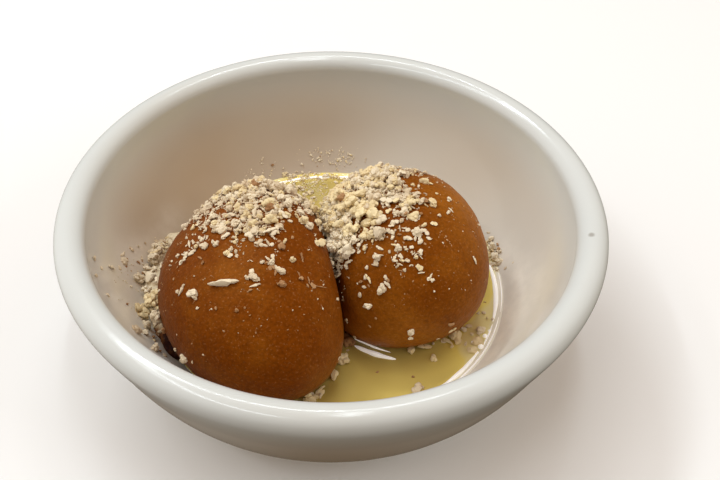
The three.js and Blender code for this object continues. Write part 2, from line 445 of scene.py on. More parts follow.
def glazed_ceramic(settings):
    """Slip-cast stoneware under a clear glaze over white: glossy, a little uneven, with painted shade and
    bounce light on its walls.
    """
    material, tree = new_material("glazed_ceramic")
    place = add(tree, "TexCoord").outputs["Object"]
    cloud = add(tree, "TexNoise", {"Vector": place, "Scale": 28, "Detail": 3, "Roughness": 0.5})
    height = add(tree, "SeparateXYZ", {"Vector": place}).outputs["Z"]
    # Painted light: the glaze turns paler and cooler up the lip, and darker and browner down the walls.
    lip = add(
        tree,
        "MapRange",
        {"Value": height, "From Min": LIP_START, "From Max": LIP_END},
        interpolation_type="SMOOTHSTEP",
    )
    base = add(
        tree,
        "Mix",
        {"Factor": lip, "A": opaque(settings.wall), "B": opaque(settings.lip)},
        data_type="RGBA",
    )
    thin = add(tree, "MapRange", {"Value": cloud, "To Min": 0.95, "To Max": 1.03})
    tone = add(tree, "VectorMath", {0: base, 1: thin}, operation="MULTIPLY")
    # Painted shade: the glaze is drawn darker and browner in places inside the walls and on the outer
    # front.
    painted_warm_shade = add(tree, "Attribute", attribute_name="painted_warm_shade").outputs["Fac"]
    tint = add(
        tree,
        "Mix",
        {"Factor": painted_warm_shade, "A": (1, 1, 1, 1), "B": opaque(linear("#DDC8B0"))},
        data_type="RGBA",
    )
    tone = add(tree, "VectorMath", {0: tone, 1: tint}, operation="MULTIPLY")
    # Milky syrup dried on the wall in a broken film, also drawn along the right waterline as painted light
    # on the right sweet's shadow.
    smear_and_painted_light = add(tree, "Attribute", attribute_name="smear_and_painted_light").outputs["Fac"]
    streaks = add(tree, "TexNoise", {"Vector": place, "Scale": 110, "Detail": 5, "Roughness": 0.65})
    film = add(
        tree,
        "MapRange",
        {"Value": streaks, "From Min": 0.36, "From Max": 0.62, "To Min": 0.5, "To Max": 1},
    )
    film = add(tree, "Math", {0: film, 1: smear_and_painted_light}, operation="MULTIPLY", use_clamp=True)
    tone = add(
        tree, "Mix", {"Factor": film, "A": tone, "B": opaque(settings.film)}, data_type="RGBA"
    )
    # A knock on the rim left a grey nick about 1.5 mm across.
    apart = add(tree, "VectorMath", {0: place, 1: NICK}, operation="DISTANCE")
    nick = add(
        tree,
        "MapRange",
        {"Value": apart, "From Min": 0.0004, "From Max": NICK_RADIUS, "To Min": 0.6, "To Max": 0},
    )
    tone = add(
        tree, "Mix", {"Factor": nick, "A": tone, "B": opaque(linear("#857D72"))}, data_type="RGBA"
    )
    # A glaze's orange peel is waves about 4 mm long and a few microns high.
    peel = add(tree, "TexNoise", {"Vector": place, "Scale": 250, "Detail": 2, "Roughness": 0.4})
    bump = add(tree, "Bump", {"Height": peel, "Strength": 0.06, "Distance": 0.0004})
    shader = add(
        tree,
        "BsdfPrincipled",
        {"Base Color": tone, "Roughness": settings.roughness, "IOR": 1.5, "Normal": bump},
    )
    add(tree, "OutputMaterial", {"Surface": shader})
    return material


def sugar_syrup(settings):
    """Thin cardamom sugar syrup: clear, amber in depth, with a smooth skin that mirrors the lamps."""
    material, tree = new_material("sugar_syrup")
    # Painted light and shade: the syrup is paler where it thins at the wall, drawn darker near the sweets
    # and behind them, and paler where the right sweet's shadow falls.
    shallow_and_painted_light = add(tree, "Attribute", attribute_name="shallow_and_painted_light").outputs["Fac"]
    tone = add(
        tree,
        "ValToRGB",
        {"Fac": shallow_and_painted_light},
        stops=[
            (0, [0.6 * c for c in settings.cloud]),
            (0.3, settings.cloud),
            (0.75, [min(1, k * c) for c, k in zip(settings.cloud, (1.5, 1.62, 1.5))]),
            (0.9, (0.98, 0.9, 0.54)),
            (1, (0.95, 0.9, 0.78)),
        ],
    )
    glass = add(
        tree,
        "BsdfPrincipled",
        {"Base Color": tone, "Roughness": 0.03, "IOR": 1.42, "Transmission Weight": 0.2},
    )
    clear = add(tree, "BsdfTransparent", {"Color": (0.97, 0.97, 0.97, 1)})
    path = add(tree, "LightPath")
    # Lamps shine through the surface, so the bowl under the syrup is lit.
    mix = add(tree, "MixShader", {0: path.outputs["Is Shadow Ray"], 1: glass, 2: clear})
    depth = add(
        tree, "VolumeAbsorption", {"Color": opaque(settings.colour), "Density": settings.density}
    )
    add(tree, "OutputMaterial", {"Surface": mix, "Volume": depth})
    return material


def glowing_thin_syrup(settings):
    """A bead of thin syrup over the white glaze: glossy, almost white, and glowing a little as a painted
    highlight.
    """
    material, tree = new_material("glowing_thin_sugar_syrup")
    shader = add(
        tree,
        "BsdfPrincipled",
        {
                "Base Color": opaque(settings.bead),
                "Roughness": 0.22,
                "IOR": 1.42,
                "Specular IOR Level": 0.9,
                # Painted highlight: the bead glows faintly in its own colour.
                "Emission Color": opaque(settings.bead),
                "Emission Strength": 0.2,
            },
    )
    add(tree, "OutputMaterial", {"Surface": shader})
    return material


def fried_dough(settings):
    """Fried milk dough soaked in syrup: mottled brown skin, satin."""
    material, tree = new_material("soaked_fried_dough")
    place = add(tree, "TexCoord").outputs["Object"]
    # Frying browns the dough in soft patches about 12 mm across.
    patches = add(tree, "TexNoise", {"Vector": place, "Scale": 80, "Detail": 4, "Roughness": 0.55})
    mottle = add(
        tree,
        "MapRange",
        {"Value": patches, "From Min": 0.35, "From Max": 0.65, "To Min": -0.22, "To Max": 0.22},
    )
    # The pale attribute is partly painted light: it lightens the right sweet low down, where shade falls.
    pale = add(tree, "Attribute", attribute_name="pale").outputs["Fac"]
    shade = add(tree, "Math", {0: pale, 1: mottle}, operation="ADD", use_clamp=True)
    tone = add(
        tree,
        "Mix",
        {"Factor": shade, "A": opaque(settings.dark), "B": opaque(settings.light)},
        data_type="RGBA",
    )
    # The crumb of the dough shows as grains 0.7 mm across.
    grain = add(tree, "TexNoise", {"Vector": place, "Scale": 1400, "Detail": 3, "Roughness": 0.6})
    speckle = add(
        tree,
        "MapRange",
        {"Value": grain, "From Min": 0.3, "From Max": 0.7, "To Min": 0.8, "To Max": 1.2},
    )
    skin = add(tree, "VectorMath", {0: tone, 1: speckle}, operation="MULTIPLY")
    # Milk solids dry on the skin in flecks 0.5 mm across.
    solids = add(tree, "TexNoise", {"Vector": place, "Scale": 2000, "Detail": 2, "Roughness": 0.6})
    fleck = add(
        tree, "MapRange", {"Value": solids, "From Min": 0.58, "From Max": 0.75, "To Max": 0.25}
    )
    skin = add(
        tree, "Mix", {"Factor": fleck, "A": skin, "B": opaque(settings.fleck)}, data_type="RGBA"
    )
    bump = add(tree, "Bump", {"Height": grain, "Strength": 0.35, "Distance": 0.0003})
    shader = add(
        tree,
        "BsdfPrincipled",
        {
            "Base Color": skin,
            "Roughness": 0.45,
            "IOR": 1.42,
            "Specular IOR Level": 0.14,
            "Specular Tint": (1.0, 0.55, 0.14, 1),
            "Normal": bump,
        },
    )
    add(tree, "OutputMaterial", {"Surface": shader})
    return material


def chopped_nut(name, colour, spread):
    """Cut nut flesh: matt and waxy, each bit a little lighter or darker."""
    material, tree = new_material(name)
    # The tint is random, and set to the light end as painted light where bits lie in shade.
    tint = add(tree, "Attribute", attribute_name="tint").outputs["Fac"]
    tone = add(
        tree,
        "Mix",
        {
            "Factor": tint,
            "A": opaque([c * (1 - k * spread) for c, k in zip(colour, (0.75, 1, 1.2))]),
            "B": opaque([min(0.96, c * 1.04) for c in colour]),
        },
        data_type="RGBA",
    )
    place = add(tree, "TexCoord").outputs["Object"]
    # Cut flesh is pitted every 0.3 mm.
    pits = add(tree, "TexNoise", {"Vector": place, "Scale": 3000, "Detail": 1, "Roughness": 0.5})
    bump = add(tree, "Bump", {"Height": pits, "Strength": 0.4, "Distance": 0.0001})
    shader = add(
        tree,
        "BsdfPrincipled",
        {
            "Base Color": tone,
            "Roughness": 0.7,
            "IOR": 1.46,
            "Specular IOR Level": 0.2,
            "Normal": bump,
        },
    )
    add(tree, "OutputMaterial", {"Surface": shader})
    return material


def soaked_meal(settings):
    """Nut meal packed against the wall: milky where the syrup dried, and dark brown at its front end as
    painted shade in the hollow by the left sweet.
    """
    material, tree = new_material("soaked_nut_meal")
    tint = add(tree, "Attribute", attribute_name="tint").outputs["Fac"]
    place = add(tree, "TexCoord").outputs["Object"]
    # Grains 1 mm across show through the syrup.
    grain = add(tree, "TexNoise", {"Vector": place, "Scale": 900, "Detail": 3, "Roughness": 0.6})
    blend = add(tree, "Math", {0: grain, 1: 0.5, 2: tint}, operation="MULTIPLY_ADD")
    tone = add(
        tree,
        "ValToRGB",
        {"Fac": blend},
        stops=[
            (0.25, linear("#300C03")),
            (0.5, linear("#7A4A22")),
            (0.8, linear("#B39A78")),
            (1, opaque(settings.meal)),
        ],
    )
    bump = add(tree, "Bump", {"Height": grain, "Strength": 0.5, "Distance": 0.0006})
    shader = add(
        tree,
        "BsdfPrincipled",
        {"Base Color": tone, "Roughness": 0.5, "Specular IOR Level": 0.15, "Normal": bump},
    )
    add(tree, "OutputMaterial", {"Surface": shader})
    return material


# ---------------------------------------------------------------- pieces


def near(spots, x, y):
    """How strong spots, given as x, y, reach and amount, are at x, y."""
    return sum(
        amount * math.exp(-((x - spot_x) ** 2 + (y - spot_y) ** 2) / reach**2)
        for spot_x, spot_y, reach, amount in spots
    )


def strength(mesh, spots):
    """How strong spots, given as x, y, z, reach and amount, are at each of the mesh's points."""
    points = coordinates(mesh) / MM
    return sum(
        amount * np.exp(-(np.linalg.norm(points - spot, axis=1) ** 2) / reach**2)
        for *spot, reach, amount in spots
    )


# Where syrup dried on the bowl's wall, and painted light: x, y, z, reach and amount.
SMEARS_AND_PAINTED_LIGHT = (
    (-50, -1, 24, 6, 0.35),
    (-50, -9, 26, 6, 0.35),
    (-49, -16, 26, 6, 0.45),
    (-46, -21, 25, 6, 0.45),
    (-48, 4, 21, 5, 0.35),
    (-46, 9.5, 19.5, 4.5, 0.3),
    (-43.5, 15.5, 18.5, 4.5, 0.3),
    (-41.5, 20.5, 18.5, 4, 0.2),
    # These four along the right waterline are painted light on the shadow that the right sweet casts on the
    # wall.
    (43, -12, 16, 4.5, 0.8),
    (41, -18, 16, 4.5, 0.8),
    (37.5, -24, 16, 4.5, 0.8),
    (33, -29.5, 16, 4, 0.6),
    (44, 8, 17, 5, 0.7),
    (46, -2, 19, 7, 0.4),
    (46.5, -1.5, 19.5, 3.5, 0.6),
    (48, -10, 22, 8, 0.5),
    (45, -20, 22, 8, 0.4),
)
# Painted shade, darker and browner, on the inside walls, and the same on the outer front.
PAINTED_SHADE_PLACES = (
    (-36, 34, 18, 22, 1), (-48, 12, 22, 14, 0.5), (-4, 50, 19, 20, 0.55), (38, 34, 23, 16, 0.35)
)
OUTER_PAINTED_SHADE_PLACES = ((0, -59, 18, 18, 0.9),)
WALL_THICKNESS = 5
BOWL_SIDES = 256


class DESSERT_OT_bowl(bpy.types.Operator):
    """Throw the glazed bowl"""

    bl_idname = "dessert.bowl"
    bl_label = "Glazed bowl"

    def execute(self, context):
        mesh = mesh_from(turned(bowl_profile(), BOWL_SIDES), "bowl_glazed")
        points = coordinates(mesh) / MM
        depth = np.hypot(points[:, 0], points[:, 1]) - inside_radius(points[:, 2])
        inside = np.clip(1 - depth / WALL_THICKNESS, 0, 1)
        paint(mesh, "smear_and_painted_light", inside * strength(mesh, SMEARS_AND_PAINTED_LIGHT))
        # Painted shade on the walls, inside and out.
        painted_warm_shade = inside * strength(mesh, PAINTED_SHADE_PLACES)
        paint(mesh, "painted_warm_shade", painted_warm_shade + (1 - inside) * strength(mesh, OUTER_PAINTED_SHADE_PLACES))
        finish = glazed_ceramic(context.scene.dessert_bowl)
        place_piece("bowl_glazed", mesh, finish, ["bowl"])
        return {"FINISHED"}


SWEET_DETAIL = 7
# Where the skin is paler: x, y, z, reach and amount. The spots low on the right sweet's front and right
# side are painted light on the shade at its foot.
PALE_AND_PAINTED_LIGHT_SPOTS = (
    (33, 3, 40, 15, 1),
    (-30, -6, 40, 17, 0.1),
    (-22, -36, 24, 18, 0.1),
    (12, -27, 20, 15, 0.9),
    (35, -14, 22, 12, 0.8),
)


class DESSERT_OT_sweets(bpy.types.Operator):
    """Roll, fry and soak the two sweets"""

    bl_idname = "dessert.sweets"
    bl_label = "Sweets"

    def execute(self, context):
        settings = context.scene.dessert_sweets
        finish = fried_dough(settings)
        for name, sweet in SWEETS.items():
            bm = bmesh.new()
            bmesh.ops.create_icosphere(bm, subdivisions=SWEET_DETAIL, radius=1)
            mesh = bpy.data.meshes.new("sweet_" + name)
            bm.to_mesh(mesh)
            bm.free()
            ways = coordinates(mesh)
            ways /= np.linalg.norm(ways, axis=1)[:, None]
            bare = sweet_shape(ways, **sweet)
            rough = bare + ways * self.relief(bare, settings.relief / MM)[:, None]
            set_coordinates(mesh, rough * MM)
            paint(mesh, "pale", strength(mesh, PALE_AND_PAINTED_LIGHT_SPOTS))
            place_piece("sweet_" + name, mesh, finish, ["gulab_jamun_" + name])
        return {"FINISHED"}

    @staticmethod
    def relief(points, height):
        """How far each point of the dough stands out: dents 9 mm across, then 2 mm, then grain."""
        waves = ((0.11, 1.0), (0.45, 0.45), (1.6, 0.2))
        out = np.zeros(len(points))
        for scale, share in waves:
            out += share * np.array([noise.noise(Vector(p * scale)) for p in points])
        # The pressed faces and the foot stay flat.
        free = np.clip((points[:, 2] - FLOOR_HEIGHT) / 2, 0, 1)
        gap = np.abs(points @ bearing(CONTACT_TURN) - CONTACT_OFFSET)
        return out * height * free * np.clip(gap / 1.5, 0.1, 1)


SYRUP_SIDES = 320
POOL_RING = 0.45  # how far apart the rings of the pool's mesh are
POOL_REACH = 0.25  # how far the syrup reaches into the glaze, so no gap shows
# Painted light and shade on the syrup: x, y, reach and amount. The two on the right paint light where the
# right sweet's shadow falls; the one behind the sweets paints shade.
SYRUP_PAINTED_LIGHT = ((39, -11, 10, 0.62), (32, -20, 8, 0.5), (-5, 37, 9, -0.25))
MOST_PALE = 0.84  # what the syrup's paleness and painted light come to at most, so that only the edge at the wall is clear
# How wide the edge is that climbs the wall, and the one that climbs a sweet.
WALL_CLIMB_WIDTH = 1.1
SWEET_CLIMB_WIDTH = 0.9
# The beads of syrup along the waterline, near white and glowing as painted highlights: from and to in
# degrees, reach, height and radius.
WALL_BEADS = (
    (-74, -50, 41.1, 14.45, 0.85),
    (-55, -33, 41.1, 14.45, 0.55),
    (-31, -19, 41.4, 14.45, 0.26),
    (-18, 10, 41.3, 14.45, 0.62),
    (-52, -16, 42.4, 15, 0.2),
    (-14, 4, 42.6, 15.3, 0.16),
    (64, 124, 41.6, 14.5, 0.4),
)
# Bubbles and drops by the waterline: x, y and radius.
BUBBLES = (
    (35.5, -20.6, 0.75),
    (36.9, -17.2, 0.6),
    (34.4, -22.4, 0.5),
    (33.9, -19.2, 0.55),
    (38.2, -15.6, 0.45),
    (37.6, -18.9, 0.4),
)
# Beads in front of the right sweet, painted highlights where the syrup mirrors the light: three places that
# each passes, and its radius.
SWEET_BEADS = (
    ((5.6, -20.2, 14.4), (10.2, -22.7, 14.4), (15.2, -24.3, 14.4), 0.62),
    ((5.6, -18.6, 15.2), (9.6, -21, 15.2), (14, -22.9, 15.2), 0.25),
)


def tube(bm, path, radius):
    """Adds a tube of a radius that runs out to nothing at both ends of a path."""
    last = None
    for i, spot in enumerate(path):
        ahead = path[min(i + 1, len(path) - 1)] - path[max(i - 1, 0)]
        share = math.sin(math.pi * (i + 0.25) / (len(path) - 0.5)) ** 0.5
        wobble = 1 + 0.3 * noise.noise(Vector(spot) * 0.35)
        ring = bmesh.ops.create_circle(bm, segments=12, radius=radius * share * wobble)["verts"]
        turn = Vector((0, 0, 1)).rotation_difference(Vector(ahead)).to_matrix().to_4x4()
        bmesh.ops.transform(bm, matrix=Matrix.Translation(spot) @ turn, verts=ring)
        edges = list({edge for vert in ring for edge in vert.link_edges})
        if last:
            bmesh.ops.bridge_loops(bm, edges=last + edges)
        last = edges


class DESSERT_OT_syrup(bpy.types.Operator):
    """Pour the syrup round the sweets"""

    bl_idname = "dessert.syrup"
    bl_label = "Syrup"

    def execute(self, context):
        settings = context.scene.dessert_syrup
        level, climb = settings.level / MM, settings.meniscus / MM
        sweets = tree_of("sweet_left", "sweet_right")
        mesh = self.pool(level, climb, sweets)
        place_piece("syrup_pool", mesh, sugar_syrup(settings), ["syrup"])
        mesh = self.beads(level, sweets)
        place_piece("syrup_beads_painted_highlight", mesh, glowing_thin_syrup(settings))
        return {"FINISHED"}

    @staticmethod
    def pool(level, climb, sweets):
        """The pool, whose surface climbs where it meets the wall or a sweet."""
        top = level + climb
        edge = float(inside_radius(top)) + POOL_REACH
        profile = [(r, level) for r in np.linspace(0, edge, int(edge / POOL_RING))]
        for share in np.linspace(1, 0, 16)[1:]:
            height = FLOOR_HEIGHT + (top - FLOOR_HEIGHT) * share**2
            profile.append((float(inside_radius(height)) + POOL_REACH, height - POOL_REACH))
        profile += [(r, FLOOR_HEIGHT - POOL_REACH) for r in np.linspace(FLOOR_RADIUS, 0, 8)[1:]]
        bm = turned(profile, SYRUP_SIDES)
        shallow_and_painted_light = bm.verts.layers.float.new("shallow_and_painted_light")
        for vert in bm.verts:
            if vert.co.z < level - 1e-3:
                continue
            x, y, _ = vert.co
            to_wall = inside_radius(level) - math.hypot(x, y)
            spot, normal, _, apart = sweets.find_nearest(Vector(vert.co) * MM)
            to_sweet = apart / MM
            inward = (Vector(vert.co) * MM - spot).dot(normal) < 0
            at_wall = math.exp(-max(to_wall, 0) / WALL_CLIMB_WIDTH)
            at_sweet = 1 if inward else math.exp(-to_sweet / SWEET_CLIMB_WIDTH)
            vert.co.z = level + max(climb * at_wall, climb * at_sweet)
            # Paler where the syrup thins at the wall; near the sweets it is drawn darker as painted shade.
            near_wall = np.clip(1 - to_wall / 2.5, 0, 1)
            out_of_sweet_shade = 0 if inward else np.clip(to_sweet / 7, 0, 1)
            painted_light_here = near(SYRUP_PAINTED_LIGHT, x, y)
            vert[shallow_and_painted_light] = np.clip(0.35 * out_of_sweet_shade + 0.4 * near_wall + painted_light_here, 0, MOST_PALE)
            vert[shallow_and_painted_light] += (1 - MOST_PALE) * np.clip(1.5 - to_wall, 0, 1)
        return mesh_from(bm, "syrup_pool")

    @staticmethod
    def beads(level, sweets):
        """The beads along the wall and in front of the right sweet, and the bubbles."""
        bm = bmesh.new()
        for start, end, reach, height, radius in WALL_BEADS:
            angles = np.linspace(start, end, int(abs(end - start) / 1.5))
            tube(bm, [bearing(a) * reach + (0, 0, height) for a in angles], radius)
        for start, through, end, radius in SWEET_BEADS:
            start, end = np.array(start), np.array(end)
            handle = 2 * np.array(through) - (start + end) / 2
            path = []
            for t in np.linspace(0, 1, 40):
                spot = (1 - t) ** 2 * start + 2 * t * (1 - t) * handle + t * t * end
                close, normal, _, apart = sweets.find_nearest(Vector(spot) * MM)
                # A bead that would run into the sweet lies against it.
                if apart < radius * MM or (Vector(spot) * MM - close).dot(normal) < 0:
                    spot = np.array(close + normal * radius * 0.6 * MM) / MM
                path.append(spot)
            tube(bm, path, radius)
        for x, y, radius in BUBBLES:
            drop = bmesh.ops.create_icosphere(bm, subdivisions=3, radius=radius)["verts"]
            bmesh.ops.translate(bm, vec=(x, y, level + 0.2 * radius), verts=drop)
        return mesh_from(bm, "syrup_beads_painted_highlight")


# Beds of chopped nuts, seen from above, in millimetres: the middle, the half-widths along and
# across, that way's turn in degrees, the share of the ground that is covered, the size of the
# bits, how deep they pile, and the shares of yellow lumps and of skin bits among them.
BEDS = (
    # On the left sweet.
    (-21, 8, 11.5, 6.5, 0, 0.77, 1.29, 1.3, 0.12, 0.05),
    (-15, -3, 7.5, 7, 0, 0.67, 1.23, 0.7, 0.12, 0.07),
    (-27, -4, 7.5, 6, 150, 0.52, 1.06, 0.45, 0.06, 0.14),
    (-16.5, -12, 5.5, 3.6, 0, 0.69, 1.23, 0.7, 0.12, 0.06),
    (-18, -17.5, 4.5, 2.6, 0, 0.25, 0.9, 0.4, 0.03, 0.1),
    (-29, -12.5, 6, 2.6, 15, 0.38, 0.95, 0.4, 0.05, 0.12),
    (-7, 1.5, 4, 5.5, 0, 0.4, 1.08, 0.5, 0.1, 0.08),
    (-2.6, -8, 2, 5, 0, 0.08, 0.9, 0.4, 0.05, 0.08),
    (-22.8, -10.4, 3.2, 2, 0, 0.95, 1.15, 0.6, 0.08, 0.1),
    (-20, -20, 17, 14, 0, 0.035, 0.55, 0.2, 0, 0.8),
    # The mound in the cleft, and the right sweet.
    (-1, 5, 5, 7.5, 10, 0.95, 1.2, 2.2, 0.4, 0.03),
    (2.2, -3, 4.4, 4.6, 0, 0.9, 1.15, 1.8, 0.3, 0.04),
    (2.4, -9.5, 3, 5.5, 0, 1.05, 1.15, 2.4, 0.04, 0.05),
    (9, 7, 8, 7, 0, 0.79, 1.34, 1.2, 0.15, 0.06),
    (14, -2.5, 6, 4, 0, 0.73, 1.23, 0.8, 0.2, 0.08),
    (7.5, -3, 4.5, 4, 0, 0.69, 1.18, 0.8, 0.2, 0.06),
    (7.5, -11.2, 4.6, 3, 0, 0.47, 1.06, 0.6, 0.06, 0.1),
    (14.5, -9.5, 4, 4, 0, 0.28, 0.95, 0.4, 0.06, 0.1),
    (17, 9, 7, 4, 0, 0.35, 0.95, 0.4, 0.08, 0.1),
    (3, -14.5, 2, 3, 0, 0.3, 0.8, 0.4, 0.03, 0.1),
    (18.5, -6, 3, 2, 0, 0.34, 1.1, 0.5, 0.1, 0.08),
    (16.5, -17.6, 3.6, 2.4, 0, 0.34, 1, 0.4, 0.05, 0.1),
    (11.6, -12, 2.4, 1.8, 0, 0.7, 1.1, 0.5, 0.06, 0.1),
    (1.2, -14, 1.8, 2.2, 0, 0.7, 1, 1, 0.04, 0.05),
    (20, -6, 14, 15, 0, 0.04, 0.55, 0.2, 0, 0.7),
    # On the syrup behind the sweets, along the edge of the pool.
    (-4, 41.4, 9, 1.2, 0, 0.72, 0.85, 0.5, 0.3, 0.05),
    (0, 45.6, 9, 1.8, 0, 0.4, 0.5, 0.2, 0.1, 0.05),
    (-20, 40.5, 5, 2, 25, 0.2, 0.45, 0.2, 0.1, 0.08),
    (-7, 37, 8, 4.5, 0, 0.5, 0.5, 0.1, 0.25, 0.12),
    (-7.5, 35, 1.8, 4.5, 40, 0.5, 1.0, 0.5, 0.1, 0.05),
    (5, 39.5, 3, 1.5, 0, 0.35, 0.9, 0.4, 0.2, 0.05),
    (41.8, 9.5, 4.5, 1.4, 95, 0.7, 0.9, 0.7, 0.2, 0.12),
    # On the heap, between the left sweet and the wall.
    (-42.5, 8.5, 2.6, 4.5, 10, 0.85, 0.7, 0.6, 0.15, 0.08),
    (-44, 1, 2, 6, 0, 0.3, 0.7, 0.5, 0.15, 0.1),
    (-43, -14, 2.2, 7, 10, 0.36, 0.8, 0.4, 0.2, 0.2),
    (-49, -6, 2.5, 9, 0, 0.13, 0.42, 0.2, 0, 0.12),
)
# Bare places in the beds: x, y, half-widths along and across, and how bare.
GAPS = (
    (9.5, -8.8, 3, 2.2, 0.9),
    (12.5, -6.4, 2.6, 1.8, 0.75),
    (-10.3, 2.2, 2, 2, 0.5),
    (-5.6, -5.6, 3.6, 2.2, 0.85),
    (21.5, -7.2, 2.4, 2.2, 0.8),
    (18.6, -12.4, 2.4, 2, 0.8),
    (9, -16.5, 3, 3, 0.6),
    (-10, -11, 2.2, 3.2, 0.9),
    (-19.4, -6, 2, 1.6, 0.5),
    (-28.5, -16.5, 3, 2, 0.8),
    (-22.5, -15, 3.2, 2.2, 0.9),
    (-6.5, -9.5, 3, 2.6, 0.8),
    (12, -15, 1.8, 1.4, 0.7),
)
# Painted light on nuts that lie in shade: x, y, reach, and how far their tint is
# lifted to the light end.
NUT_PAINTED_LIGHT_PLACES = (
    (0, 4, 8, 0.5),
    (3, -10, 7, 1),
    (-42, -10, 12, 0.7),
    (30, -20, 15, 0.9),
    (42, 10, 6, 1),
    (0, 46, 12, 0.8),
    (-20, 40, 8, 0.8),
    (-50, -6, 8, 0.4),
    (0, -32, 9, 0.7),
)
# Loose bits that lie apart: kind, how many, the middle x, y of the ellipse that they lie in, its
# two half-widths, and the shortest and longest of them.
SPRINKLES = (
    # On the left sweet's front.
    ("ivory", 3, -5.6, -9.2, 1.5, 2, 1.4, 2.8),
    ("ivory", 9, -29, -15, 5.5, 3.5, 1.8, 3),
    ("ivory", 6, -14, -20, 3, 2.6, 1.3, 2.8),
    ("ivory", 7, -14, -25.5, 5, 2.8, 1.5, 2.5),
    ("ivory", 3, -20.5, -19, 1.6, 1.8, 1.4, 3),
    ("yellow", 5, -14, -19, 10, 6, 1.4, 2.4),
    ("skin", 14, -8, -21, 6, 7, 0.9, 2.4),
    ("skin", 5, -31, -17.5, 6, 4, 0.9, 1.6),
    ("skin", 4, -18, -30, 7, 2.5, 0.9, 1.4),
    # On the right sweet's front.
    ("ivory", 4, 24, -3, 6, 6, 0.9, 1.9),
    ("ivory", 12, 18.6, -14.5, 4.5, 4, 1.2, 2.6),
    ("ivory", 9, 13, -17.5, 3.5, 3.4, 1.2, 2.4),
    ("ivory", 5, 8, -18.5, 2.6, 3, 1.6, 2.2),
    ("ivory", 4, 10.5, -22.5, 3, 1.2, 2, 2.3),
    ("ivory", 4, 20, -21, 2.6, 1.4, 1.5, 2),
    ("yellow", 8, 19, -10, 9, 9, 1.2, 2.6),
    ("skin", 7, 14, -18, 9, 6, 0.9, 1.3),
)
# Single bits that catch the eye: x, y, z, length, slenderness and, unless it is 0, turn. Each lies
# on the nearest surface.
SINGLE_BITS = {
    "ivory": (
        (-23, -26.5, 43, 5.8, 0.34, 175), (-33, -24, 38, 2.6, 0.4, 45), (-29.5, -27, 39.5, 2, 0.85, 45),
        (32.5, -14.5, 37.5, 2.4, 0.43, 140), (18, -26, 24, 1.8, 0.8, 150), (24.5, -23, 21, 1.1, 0.55, 20),
        (1.5, -32.5, 25, 1.7, 0.3, 70), (1.5, -24.5, 35, 1.6, 0.5, 120), (4, -20, 23.5, 1.2, 0.8, 60),
        (-35, -25.5, 16, 1.8, 0.8), (-40, -19.5, 19, 1.4, 0.8),
    ),
    "yellow": (
        (8, -20, 37, 3.1, 0.4, 115), (19.5, -20, 41, 2.9, 0.53, 100), (27.5, -23, 24, 2.8, 0.52, 90),
    ),
    "skin": (
        (-2, -25, 40, 2.7, 0.15, 15), (-32.5, -32, 24, 1.3, 0.46, 125), (10, -24.5, 29, 1.2, 0.75, 100),
        (9, -24, 25.5, 1.3, 0.53, 115), (3, -18.5, 28.5, 1, 0.8, 55),
    ),
}
